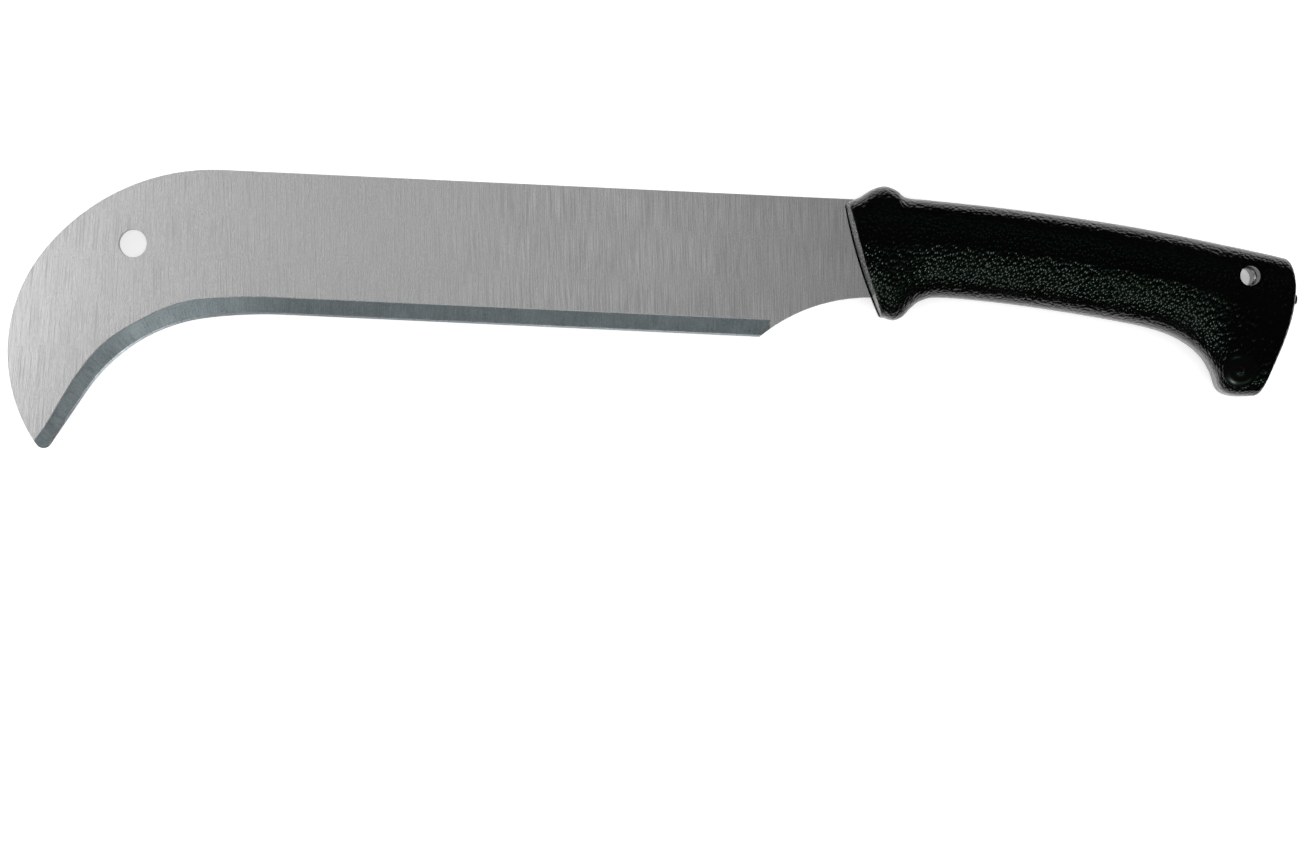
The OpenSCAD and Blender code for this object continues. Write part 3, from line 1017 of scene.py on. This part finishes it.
@dataclass
class MouldedHandle:
    """The handle: one moulding whose skin runs through drawn sections, as in the CAD model.

    Each section is top x, top y, bottom x, bottom y, share of the thickness, bow towards the butt and share of
    the end's squareness. Powers say how square the skin is round the grip and at both ends. The ridge is the line
    along the side where the two slopes of the roof meet, and spans name the sections between which something
    changes.
    """

    thickness: float = 26.0
    top_power: float = 3.3
    grip_power: float = 3.3
    guard_power: float = 3.9
    butt_power: float = 5.0
    ridge: tuple[tuple[float, float], ...] = (
        (5.9, -14.4), (39.9, -15.0), (75.5, -17.8), (88.0, -19.6), (111.0, -22.8), (126.0, -25.4),
        (150.0, -35.0),
    )
    crest_most: float = 0.5  # the furthest up that the ridge may lie, as a share of the half height
    roof_back: float = 0.10  # how far the roof falls from the ridge to the back, as a share of the thickness
    roof_belly: float = 0.26
    roof_soft: float = 0.04
    roof_span: tuple[float, float] = (12.0, 16.0)
    butt_span: tuple[float, float] = (9.5, 13.5)
    butt_skew: float = 0.5  # how far the butt's bow leans to the back
    front_rim: float = 1.8  # how far the front goes on past the first section
    wall_back: float = 0.4  # and how far behind that section its wall begins
    front_edge: float = 0.5
    edge_share: float = 0.9  # the part of the front's rounded edge that is made
    lip_w: float = 0.45
    lip_h: float = 2.0
    lip_fall: float = 0.1
    lip_stop: float = 0.999  # the share of the front at which its last ring stops, so that it stays open
    butt_stop: float = 0.9995  # and that of the butt
    lip_rings: int = 4
    wall_rings: int = 9
    butt_rim: float = 2.6
    butt_corner: float = 3.0
    butt_edge: float = 1.4
    butt_rings: int = 7
    rounding_rings: int = 9
    front_rows: int = 4
    butt_rows: int = 40
    bore_at: tuple[float, float] = (144.0, -21.4)
    bore_r: float = 3.6
    bore_flare: float = 0.35
    bore_section: float = 13.3
    bore_sink: float = 0.1
    flare_slope: float = 1.6
    gate_at: tuple[float, float] = (142.0, -55.4)
    gate_r: float = 6.2
    gate_level: float = 0.945
    gate_tilt: float = 2.0
    gate_round: float = 6.0
    gate_fall: float = 30.0  # how steep the pad is at its rim, in degrees
    gate_root: float = 6.0
    gate_rings: int = 10
    dot_r: float = 1.1
    dot_h: float = 0.4
    dot_foot: tuple[float, float] = (0.25, 0.12)
    dot_dome: tuple[tuple[float, float], ...] = ((0.9, 0.8), (0.6, 1.0), (0.0, 1.0))  # of radius and height
    pip_at: tuple[float, float] = (162.0, -28.6)
    pip_r: float = 1.8
    pip_h: float = 1.0
    pip_round: float = 0.5
    pip_root: float = 4.0
    pip_rings: int = 6
    tang_front: float = -8.0  # where the room of the steel is open ahead of the front wall
    tang_room: float = 0.04
    pebble_depth: float = 0.03
    pebble_foot: float = 0.55  # how far down a dome a pebble ends
    front_grain: float = 0.6  # how much of the grain the front wall carries
    grain_rise: float = 1.0  # and how far behind the wall it is full
    bore_bare: tuple[float, float] = (0.5, 1.4)  # the smooth margin of the bore, and where the grain is full
    line_bare: tuple[float, float] = (0.1, 0.7)  # the same, of the parting line
    parting_depth: float = 0.12
    sharp_angle: float = 50.0
    ring_step: float = 0.45
    section_steps: int = 60
    points_around: int = 228
    points_drawn: int = 1441
    sections: tuple[tuple[float, ...], ...] = (
        (0.1, -0.9, 14.8, -42.1, 0.94, -1.2, 1),
        (3.9, 0.8, 16.4, -42.6, 0.97, -1.0, 1),
        (8.2, 3.7, 18.6, -42.8, 0.99, -0.8, 0.9),
        (12.6, 5.1, 21.4, -41.4, 0.98, -0.6, 0.7),
        (17.0, 3.9, 24.2, -38.2, 0.97, -0.4, 0.5),
        (20.8, 1.4, 28.0, -35.3, 0.95, -0.2, 0.2),
        (30.0, 0.8, 34.5, -33.9, 0.94, 0, 0),
        (52.0, -0.5, 53.0, -34.6, 0.95, 0, 0),
        (75.0, -2.4, 74.0, -36.4, 0.99, 0, 0),
        (97.0, -4.7, 95.0, -38.9, 1, 0, 0),
        (115.0, -7.1, 111.0, -41.5, 1, 0.2, 0.1),
        (126.0, -8.8, 121.2, -44.9, 1, 0.6, 0.3),
        (134.0, -10.1, 128.8, -50.0, 0.99, 0.9, 0.6),
        (140.5, -11.1, 133.2, -56.0, 0.96, 1.5, 0.8),
        (146.3, -12.1, 135.9, -62.2, 0.93, 2.1, 0.9),
        (151.8, -13.0, 140.6, -64.3, 0.915, 2.8, 1),
        (157.5, -14.1, 147.5, -64.2, 0.90, 3.6, 1),
    )

    def section(self, t: float) -> np.ndarray:
        """Finds a section on the smooth curve through the drawn ones.

        Args:
            t: its number, where 2.5 is half way from the drawn one 2 to the drawn one 3.

        Returns:
            Its seven numbers.
        """
        rows = np.array(self.sections)
        last = len(rows) - 1
        i = min(int(t), last - 1)
        f = t - i
        a, b, c, d = rows[max(i - 1, 0)], rows[i], rows[i + 1], rows[min(i + 2, last)]
        square, cube = 2 * a - 5 * b + 4 * c - d, 3 * b - a - 3 * c + d
        return b + (c - a) * f / 2 + square * f * f / 2 + cube * f ** 3 / 2

    def ring(self, t: float, shift: float = 0.0, drawn_in: float = 0.0, limit: float = math.inf) -> np.ndarray:
        """One closed ring of the skin, with its points evenly spaced.

        Args:
            t: the section it follows.
            shift: how far it is moved towards the butt.
            drawn_in: how far its top and bottom are drawn in.
            limit: the most that it may rise over the mid plane.

        Returns:
            One point to a row, from the top over the seen side and back underneath.
        """
        s = self.section(t)
        top, bottom = s[:2], s[2:4]
        middle = (top + bottom) / 2
        up = (top - bottom) / np.linalg.norm(top - bottom)
        to_butt = np.array([up[1], -up[0]])
        depth = np.linalg.norm(top - bottom) / 2 - drawn_in
        level = np.interp(middle[0], *np.array(self.ridge).T)
        crest = float(np.clip((level - middle[1]) / (depth * up[1]), 0, self.crest_most))
        a = np.linspace(0, math.pi, self.points_drawn)
        upper = np.cos(a) > 0
        at_butt = float(ease(t, *self.butt_span))
        end_power = self.guard_power + (self.butt_power - self.guard_power) * at_butt
        low_power = self.grip_power + (end_power - self.grip_power) * s[6]
        power = np.where(upper, self.top_power, low_power)
        rise = np.abs(np.cos(a)) ** (2 / power)
        u = np.where(upper, crest + (1 - crest) * rise, crest - (1 + crest) * rise)
        fall = np.where(upper, self.roof_back, self.roof_belly) * (1 - float(ease(t, *self.roof_span)))
        slope = np.sqrt(rise * rise + self.roof_soft ** 2) - self.roof_soft
        w = np.clip(np.sin(a), 0, 1) ** (2 / power) * (1 - fall * slope)
        bow = s[5] * (1 - u * u) * (1 + self.butt_skew * at_butt * u)
        p = middle + np.outer(depth * u, up) + np.outer(shift + bow, to_butt)
        half = np.column_stack([p, s[4] * self.thickness / 2 * w])
        run = run_along(half)
        even = np.linspace(0, run[-1], self.points_around // 2 + 1)
        seen = np.column_stack([np.interp(even, run, half[:, k]) for k in range(3)])
        seen[:, 2] = np.minimum(seen[:, 2], limit)
        return np.vstack([seen, seen[-2:0:-1] * (1, 1, -1)])

    def end_rings(self, t: float, reach: float, steps: list[tuple[float, float]]) -> list[np.ndarray]:
        """Rings past the first or last section, with their corners rounded in plan.

        Args:
            t: the section they follow.
            reach: how far they go, towards the butt where it is more than 0.
            steps: for each ring its share of the reach, and the most that it may rise over the mid plane.

        Returns:
            The rings in order.
        """
        made = []
        for share, limit in steps:
            corner = self.butt_corner if reach > 0 else -reach
            past = max(0.0, share * abs(reach) - abs(reach) + corner) / corner
            made.append(self.ring(t, reach * share, corner * (1 - math.sqrt(max(0.0, 1 - past * past))), limit))
        return made

    def rings(self) -> tuple[np.ndarray, np.ndarray]:
        """All rings of the skin, from the lip round the blade over the front wall to the butt's face.

        Returns:
            The rings, and for each the share of the grain that it carries.
        """
        last = len(self.sections) - 1
        fine = np.linspace(0, last, last * self.section_steps + 1)
        rows = np.array([self.section(t)[:4] for t in fine])
        above, below = (np.linalg.norm(np.diff(rows[:, k : k + 2], axis=0), axis=1) for k in (0, 2))
        run = np.concatenate([[0], np.cumsum(np.maximum(above, below))])
        even = np.linspace(0, run[-1], math.ceil(run[-1] / self.ring_step) + 1)
        made = self.end_rings(0, -self.front_rim, self.front_steps())[::-1]
        grain = [self.front_grain] * len(made)
        for t, behind in zip(np.interp(even, run, fine), even):
            made.append(self.ring(float(t), limit=self.wall_height(-float(behind))))
            full = float(ease(behind, self.wall_back, self.wall_back + self.grain_rise))
            grain.append(self.front_grain + (1 - self.front_grain) * full)
        butt = self.end_rings(last, self.butt_rim, self.butt_steps())
        return np.array(made + butt), np.array(grain + [1.0] * len(butt))

    def wall_height(self, ahead: float) -> float:
        """The most that the skin may rise near the front: a rounded edge, the steep wall, and the lip.

        Args:
            ahead: the distance ahead of the first section.

        Returns:
            The height over the mid plane.
        """
        half, edge = self.sections[0][4] * self.thickness / 2, self.front_edge
        past, foot = ahead + self.wall_back, self.front_rim - self.lip_w + self.wall_back
        turn = edge * self.edge_share
        if past <= 0:
            return math.inf
        if past < turn:
            return half - edge + math.sqrt(edge * edge - past * past)
        top = half - edge + math.sqrt(edge * edge - turn ** 2)
        if past < foot:
            return top + (self.lip_h - top) * (past - turn) / (foot - turn)
        return self.lip_h - self.lip_fall * (past - foot) / self.lip_w

    def front_steps(self) -> list[tuple[float, float]]:
        """Steps of the front: down the steep wall, and out on the lip that meets the steel.

        Returns:
            For each ring its share of the front's reach, and the most that it may rise.
        """
        foot = self.front_rim - self.lip_w
        ahead = [*np.linspace(0, foot, self.wall_rings + 1)[1:],
                 *np.linspace(foot, self.front_rim * self.lip_stop, self.lip_rings + 1)[1:]]
        return [(float(a) / self.front_rim, self.wall_height(float(a))) for a in ahead]

    def butt_steps(self) -> list[tuple[float, float]]:
        """Steps of the butt: straight on, and then round its edge.

        Returns:
            For each ring its share of the butt's reach, and the most that it may rise.
        """
        half, edge, reach = self.sections[-1][4] * self.thickness / 2, self.butt_edge, self.butt_rim
        flat, count = reach - edge, self.butt_rings
        steps = [(flat * k / (count * reach), half) for k in range(1, count + 1)]
        for a in np.radians(np.linspace(10, 90, self.rounding_rings)):
            share = min(self.butt_stop, (flat + edge * math.sin(a)) / reach)
            steps.append((share, half - edge * (1 - math.cos(a))))
        return steps

    @staticmethod
    def end_face(ring: np.ndarray, ids: np.ndarray, first: int, rows: int) -> tuple[np.ndarray, list]:
        """Closes a ring with upright columns of points.

        Args:
            ring: the ring's points.
            ids: their numbers.
            first: the number of the first new point.
            rows: faces in a column.

        Returns:
            The new points and the faces.
        """
        half = len(ids) // 2
        shares = np.linspace(1, -1, rows + 1)[1:-1]
        points = np.vstack([ring[j] * (1, 1, v) for j in range(1, half) for v in shares])
        columns = [[int(ids[j]), *range(first + (j - 1) * len(shares), first + j * len(shares)), int(ids[-j])]
                   for j in range(1, half)]
        faces = [(a[k], b[k], b[k + 1], a[k + 1]) for a, b in zip(columns, columns[1:]) for k in range(rows)]
        faces += [(int(ids[0]), columns[0][k], columns[0][k + 1]) for k in range(rows)]
        faces += [(columns[-1][k], int(ids[half]), columns[-1][k + 1]) for k in range(rows)]
        return points, faces

    def skin(self, datum: Datum) -> bpy.types.Object:
        """Builds the closed skin, with its parting line and the masks of its grain and of its painted sheen.

        Args:
            datum: the drawing's origin.

        Returns:
            The skin.
        """
        rings, grain = self.rings()
        count, n = rings.shape[:2]
        body = np.arange(count)[grain > self.front_grain]
        for j in (0, n // 2):
            inward = rings[body].mean(1) - rings[body, j]
            rings[body, j] += self.parting_depth * inward / np.linalg.norm(inward, axis=1)[:, None]
        ids = np.arange(count * n).reshape(count, n)
        right = np.roll(ids, -1, 1)
        quads = np.stack([ids[:-1], ids[1:], right[1:], right[:-1]], -1).reshape(-1, 4)
        front, front_faces = self.end_face(rings[0], ids[0], count * n, self.front_rows)
        back, back_faces = self.end_face(rings[-1], ids[-1], count * n + len(front), self.butt_rows)
        faces = [tuple(map(int, q)) for q in quads] + front_faces + [f[::-1] for f in back_faces]
        drawn = np.vstack([rings.reshape(-1, 3), front, back])
        made = outward(mesh_object("handle_moulding", datum.place(drawn), faces))
        # where the front wall gets its painted sheen, a painted reflection
        painted_sheen = np.repeat(self.painted_sheen_of(count), n)
        store(made, PAINTED_SHEEN_MASK, np.concatenate([painted_sheen, np.zeros(len(front) + len(back))]))
        mask = np.concatenate([np.repeat(grain, n), np.zeros(len(front)), np.ones(len(back))])
        mask *= ease(np.hypot(*(drawn[:, :2] - self.bore_at).T), *(self.bore_r + gap for gap in self.bore_bare))
        mask *= ease(np.abs(drawn[:, 2]), *self.line_bare)
        store(made, GRAIN_MASK, mask)
        return made

    def painted_sheen_of(self, count: int) -> np.ndarray:
        """Tells how much painted sheen, a painted reflection, each ring carries: the front wall all over, the lip
        and the skin behind it not at all.

        Args:
            count: how many rings there are.

        Returns:
            One number for each, from 0 to 1.
        """
        lip, wall = self.lip_rings + 1, len(self.front_steps()) + round(self.wall_back / self.ring_step)
        ring = np.arange(count)
        return np.clip(np.minimum(wall - ring, ring - lip) / 2, 0, 1)

    def grain_tree(self, material: bpy.types.Material) -> bpy.types.NodeTree:
        """Makes the Geometry Nodes tree that presses the leather grain into a skin.

        Args:
            material: what the skin is made of.

        Returns:
            The tree, with an input for the pebbles' depth.
        """
        tree = bpy.data.node_groups.new("leather_grain", "GeometryNodeTree")
        for name, way, kind in (("Geometry", "INPUT", "Geometry"), ("Pebble depth", "INPUT", "Float"),
                                ("Geometry", "OUTPUT", "Geometry")):
            tree.interface.new_socket(name, in_out=way, socket_type=f"NodeSocket{kind}")
        start = add(tree, "NodeGroupInput").outputs
        dome = leather_domes(tree, add(tree, "GeometryNodeInputPosition").outputs[0])
        sunk = add(tree, "ShaderNodeMapRange", {0: dome, 2: self.pebble_foot, 4: -1.0}).outputs[0]
        mask = add(tree, "GeometryNodeInputNamedAttribute", {"Name": GRAIN_MASK}, data_type="FLOAT").outputs[0]
        depth = add(tree, "ShaderNodeMath", {0: sunk, 1: start["Pebble depth"]},
                    operation="MULTIPLY").outputs[0]
        deep = add(tree, "ShaderNodeMath", {0: depth, 1: mask}, operation="MULTIPLY").outputs[0]
        out = add(tree, "GeometryNodeInputNormal").outputs[0]
        offset = add(tree, "ShaderNodeVectorMath", {0: out, 3: deep}, operation="SCALE").outputs[0]
        pressed = add(tree, "GeometryNodeSetPosition", {"Geometry": start["Geometry"], "Offset": offset})
        real = add(tree, "GeometryNodeRealizeInstances", {"Geometry": pressed.outputs[0]})
        dressed = add(tree, "GeometryNodeSetMaterial", {"Geometry": real.outputs[0], "Material": material})
        add(tree, "NodeGroupOutput", {0: dressed.outputs[0]})
        return tree

    @staticmethod
    def turned(name: str, profile: list[tuple[float, float]], place: Matrix, datum: Datum,
               sides: int = 96) -> bpy.types.Object:
        """Turns a closed profile about the vertical axis into a solid.

        Args:
            name: the object's name.
            profile: radius and height pairs, which start and end on the axis.
            place: how the solid is turned and moved in the drawing.
            datum: the drawing's origin.
            sides: the number of faces around.

        Returns:
            The solid.
        """
        around = np.radians(np.arange(sides) * 360 / sides)
        inner = profile[1:-1]
        points = [(0.0, 0.0, profile[0][1])]
        points += [(r * math.cos(a), r * math.sin(a), z) for r, z in inner for a in around]
        points.append((0.0, 0.0, profile[-1][1]))
        faces = [(0, 1 + (k + 1) % sides, 1 + k) for k in range(sides)]
        for base in range(1, 1 + (len(inner) - 1) * sides, sides):
            faces += [(base + k, base + (k + 1) % sides, base + sides + (k + 1) % sides, base + sides + k)
                      for k in range(sides)]
        base, end = 1 + (len(inner) - 1) * sides, len(points) - 1
        faces += [(base + k, base + (k + 1) % sides, end) for k in range(sides)]
        moved = np.array([tuple(place @ Vector(p)) for p in points])
        return outward(mesh_object(name, datum.place(moved), faces))

    def bore_cutter(self, datum: Datum) -> bpy.types.Object:
        """Makes the cutter of the lanyard hole, which flares a little at both mouths.

        Args:
            datum: the drawing's origin.

        Returns:
            The cutter.
        """
        r, wide, reach = self.bore_r, self.bore_r + self.bore_flare, self.thickness
        mouth = self.section(self.bore_section)[4] * self.thickness / 2 - self.bore_sink
        upper = [(r, mouth - self.flare_slope * self.bore_flare), (wide, mouth), (wide, reach), (0.0, reach)]
        profile = [(x, -z) for x, z in upper[::-1]] + upper
        return self.turned("bore_cutter", profile, Matrix.Translation((*self.bore_at, 0)), datum)

    def gate_pad(self, datum: Datum) -> bpy.types.Object:
        """Makes the round pad where the plastic entered the mould, with the sprue's stub in its middle.

        Args:
            datum: the drawing's origin.

        Returns:
            The pad.
        """
        soft, r = self.gate_round, self.dot_r
        flat = self.gate_r - soft * math.sin(math.radians(self.gate_fall))
        profile = [(0.0, -self.gate_root), (self.gate_r, -self.gate_root)]
        profile += [(flat + soft * math.sin(a), -soft + soft * math.cos(a))
                    for a in np.radians(np.linspace(self.gate_fall, 0, self.gate_rings))]
        profile += [(r + self.dot_foot[0], 0.0), (r, self.dot_foot[1])]
        profile += [(r * out, self.dot_h * up) for out, up in self.dot_dome]
        place = Matrix.Translation((*self.gate_at, self.gate_level * self.thickness / 2)) @ Matrix.Rotation(
            math.radians(self.gate_tilt), 4, "X")
        return self.turned("gate_pad", profile, place, datum)

    def pip(self, datum: Datum) -> bpy.types.Object:
        """Makes the small pip that an ejector of the mould left on the butt.

        Args:
            datum: the drawing's origin.

        Returns:
            The pip.
        """
        soft = self.pip_round
        profile = [(0.0, -self.pip_root), (self.pip_r, -self.pip_root)]
        profile += [(self.pip_r - soft + soft * math.cos(a), self.pip_h - soft + soft * math.sin(a))
                    for a in np.radians(np.linspace(0, 90, self.pip_rings))]
        profile += [(0.0, self.pip_h)]
        place = Matrix.Translation((*self.pip_at, 0)) @ Matrix.Rotation(math.radians(90), 4, "Y")
        return self.turned("pip", profile, place, datum, sides=48)

    def tang_cutter(self, blade: HookedBlade, datum: Datum) -> bpy.types.Object:
        """Makes the room of the tang and the blade's root inside the plastic, a hair thicker than the steel.

        Args:
            blade: the steel.
            datum: the drawing's origin.

        Returns:
            The cutter, which leaves the plastic in the locking holes.
        """
        main = blade.outline()
        main = main[main[:, 0] > self.tang_front]
        # the longest side is where the blade was left out
        low = int(np.argmax(np.linalg.norm(np.diff(main, axis=0), axis=1))) + 1
        front = [(self.tang_front, 0.0), (self.tang_front, main[low][1])]
        loops = [np.vstack([main[:low], front, main[low:]]), *blade.holes()[2:]]
        half = blade.blade_t / 2 + self.tang_room
        return plate("tang_cutter", [(loop, True) for loop in loops], loops,
                     lambda where: np.full(len(where), half), datum, smooth=True)

    @staticmethod
    def join_edges(made: bpy.types.Object) -> None:
        """Takes out the points that the cuts leave along an edge, where two faces could fold flat together.

        Args:
            made: the handle.
        """
        body = bmesh.new()
        body.from_mesh(made.data)
        bmesh.ops.dissolve_verts(body, verts=[v for v in body.verts if len(v.link_edges) == 2])
        body.to_mesh(made.data)
        body.free()

    def build(self, blade: HookedBlade, datum: Datum) -> bpy.types.Object:
        """Builds the handle as one closed mesh.

        Args:
            blade: the steel that it is moulded around.
            datum: the drawing's origin.

        Returns:
            The dressed handle.
        """
        grained = MouldedPlastic("polypropylene_leather_grained", True).build()
        plain = MouldedPlastic("polypropylene_polished_mould", False, roughness=0.20, sheen_level=0.9).build()
        made = self.skin(datum)
        made.data.materials.append(grained)
        tree = self.grain_tree(grained)
        modifier = made.modifiers.new("leather_grain", "NODES")
        modifier.node_group = tree
        for item in tree.interface.items_tree:
            if item.in_out == "INPUT" and item.name == "Pebble depth":
                modifier[item.identifier] = self.pebble_depth * MM
        settle(made)
        tools = [(self.gate_pad(datum), "UNION"), (self.pip(datum), "UNION"),
                 (self.bore_cutter(datum), "DIFFERENCE"), (self.tang_cutter(blade, datum), "DIFFERENCE")]
        for tool, kind in tools:
            tool.data.materials.append(plain)
            cut = made.modifiers.new(tool.name, "BOOLEAN")
            cut.operation, cut.solver, cut.object = kind, "MANIFOLD", tool
            cut.material_mode = "TRANSFER"
        settle(made)
        for tool, _ in tools:
            mesh = tool.data
            bpy.data.objects.remove(tool)
            bpy.data.meshes.remove(mesh)
        self.join_edges(made)
        made.data.set_sharp_from_angle(angle=math.radians(self.sharp_angle))
        return made


@dataclass(frozen=True)
class SoftBox:
    """A soft box. Its place and size are in metres, and its power is its face's brightness, where 1 is white."""

    name: str
    at: tuple[float, float, float]
    size: tuple[float, float]
    power: float
    colour: str


@dataclass
class Studio:
    """A pale table that glows a little, soft light and the camera that the picture was taken with.

    The steel and the plastic have boxes of their own, because each shows hardly anything but their reflections.
    Four pale walls give the steel something to show from the sides.
    """

    camera_at: tuple[float, float, float] = (-66.6, -87.7, 1250.0)
    camera_roll: float = 2.66
    picture_w: float = 469.4
    sensor_w: float = 36.0
    clip: tuple[float, float] = (0.01, 50.0)
    floor_size: float = 10.0
    floor_under: float = 0.2
    floor_colour: str = "F4F4F4"
    floor_roughness: float = 0.7
    floor_glow: float = 0.42
    flood_power: float = 3.6
    flood_angle: float = 100.0
    sky_colour: str = "F2F5F3"
    sky_low: float = 0.5
    sky_high: float = 0.025
    sky_band: float = 0.05  # how far up the pale part of the sky reaches
    overhead: float = 1.4  # a box that is at least this high, and no further than this to the side, looks down
    wall_at: float = 2.6
    wall_h: float = 1.7
    wall_size: tuple[float, float] = (5.2, 3.0)
    wall_power: float = 0.6
    wall_colour: str = "F6F8F8"
    steel_boxes: tuple[SoftBox, ...] = (
        SoftBox("main_box", (-0.08, 0.16, 1.5), (0.46, 0.62), 0.65, "FFFFFF"),
        SoftBox("far_box", (-0.95, 0.16, 1.5), (0.66, 0.62), 3.7, "FFFFFF"),
        SoftBox("hook_box", (-0.74, -0.62, 1.5), (0.78, 0.44), 0.9, "F4FBFF"),
        SoftBox("bend_box", (0.00, -0.50, 1.5), (0.32, 0.26), 2.8, "F4FBFF"),
    )
    plastic_boxes: tuple[SoftBox, ...] = (
        SoftBox("low_box", (0.02, -0.69, 1.2), (0.26, 0.20), 5.6, "F0FFF4"),
        SoftBox("strip_box", (0.12, -0.69, 1.21), (1.8, 0.25), 0.36, "A0FFC4"),
        SoftBox("high_box", (0.15, 0.66, 1.2), (0.40, 0.12), 0.64, "A8FFC8"),
    )

    def build(self, datum: Datum, steel: bpy.types.Object, plastic: bpy.types.Object) -> None:
        """Makes the camera, the floor, the world and the lights.

        Args:
            datum: the drawing's origin.
            steel: the blade.
            plastic: the handle.
        """
        data = bpy.data.cameras.new("camera")
        data.sensor_width = self.sensor_w
        data.lens = data.sensor_width * self.camera_at[2] / self.picture_w
        data.clip_start, data.clip_end = self.clip
        camera = bpy.data.objects.new("camera", data)
        camera.location = datum.place(np.array([self.camera_at]))[0]
        camera.rotation_euler = (0.0, 0.0, math.radians(self.camera_roll))
        bpy.context.scene.collection.objects.link(camera)
        bpy.context.scene.camera = camera
        table = self.floor()
        self.world()
        walls = [SoftBox(f"{side}_wall", (x * self.wall_at, y * self.wall_at, self.wall_h), self.wall_size,
                         self.wall_power, self.wall_colour)
                 for side, x, y in (("left", -1, 0), ("right", 1, 0), ("near", 0, -1), ("back", 0, 1))]
        for boxes, piece in ((self.steel_boxes, steel), (self.plastic_boxes, plastic), (walls, steel)):
            for box in boxes:
                self.area(box, piece)
        self.flood(table)
        bpy.context.scene.view_settings.view_transform = "Standard"

    def floor(self) -> bpy.types.Object:
        """Makes the pale table.

        Returns:
            The table.
        """
        half = self.floor_size / 2
        ring = [(x * half, y * half, -self.floor_under * MM) for x, y in ((-1, -1), (1, -1), (1, 1), (-1, 1))]
        made = mesh_object("table", np.array(ring), [(0, 1, 2, 3)], smooth=False)
        material, tree, shader = blank("opal_table")
        feed(tree, shader, {"Base Color": linear(self.floor_colour), "Roughness": self.floor_roughness,
                            "Emission Color": linear("FFFFFF"), "Emission Strength": self.floor_glow})
        made.data.materials.append(material)
        return made

    def flood(self, table: bpy.types.Object) -> None:
        """Adds the broad light that falls on the table alone, and makes it whiter than the picture can show.

        Args:
            table: the table.
        """
        data = bpy.data.lights.new("flood", "SUN")
        data.energy, data.angle = self.flood_power, math.radians(self.flood_angle)
        light = bpy.data.objects.new("flood", data)
        bpy.context.scene.collection.objects.link(light)
        self.only(light, table)

    @staticmethod
    def only(light: bpy.types.Object, piece: bpy.types.Object) -> None:
        """Lets a light fall on one piece alone.

        Args:
            light: the light.
            piece: the piece.
        """
        lit = bpy.data.collections.new(light.name)
        lit.objects.link(piece)
        light.light_linking.receiver_collection = lit

    def world(self) -> None:
        """Makes a dim room that is pale towards the table and dark overhead."""
        world = bpy.data.worlds.new("room")
        world.use_nodes = True
        tree = world.node_tree
        way = add(tree, "ShaderNodeTexCoord").outputs["Generated"]
        height = add(tree, "ShaderNodeSeparateXYZ", {0: way}).outputs["Z"]
        level = add(tree, "ShaderNodeMapRange", {0: height, 2: self.sky_band, 3: self.sky_low,
                                                 4: self.sky_high}, interpolation_type="SMOOTHSTEP").outputs[0]
        feed(tree, tree.nodes["Background"], {"Color": linear(self.sky_colour), "Strength": level})
        bpy.context.scene.world = world

    def area(self, box: SoftBox, piece: bpy.types.Object) -> None:
        """Adds one soft box. It looks straight down where it hangs above the object, and else at its middle.

        Args:
            box: the box.
            piece: the only piece that it lights.
        """
        data = bpy.data.lights.new(box.name, "AREA")
        data.shape, data.size, data.size_y = "RECTANGLE", *box.size
        data.energy = box.power * math.pi * box.size[0] * box.size[1]
        data.color = linear(box.colour)[:3]
        light = bpy.data.objects.new(box.name, data)
        light.location = box.at
        if box.at[2] < self.overhead or math.hypot(*box.at[:2]) > self.overhead:
            light.rotation_euler = (-Vector(box.at)).to_track_quat("-Z", "Y").to_euler()
        bpy.context.scene.collection.objects.link(light)
        self.only(light, piece)


def main() -> None:
    """Builds the machete piece by piece."""
    logging.basicConfig(level=logging.INFO, format="%(name)s: %(message)s")
    blade = HookedBlade()
    datum = Datum.of_blade(blade.blade_l)
    steel = blade.build(datum)
    blade.dress(steel, datum)
    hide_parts("blade")
    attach(steel, "root")
    LOG.info("blade_steel: %d faces", len(steel.data.polygons))
    plastic = MouldedHandle().build(blade, datum)
    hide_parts("handle")
    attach(plastic, "root")
    LOG.info("handle_moulding: %d faces", len(plastic.data.polygons))
    Studio().build(datum, steel, plastic)
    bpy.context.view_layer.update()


if __name__ == "__main__":
    main()
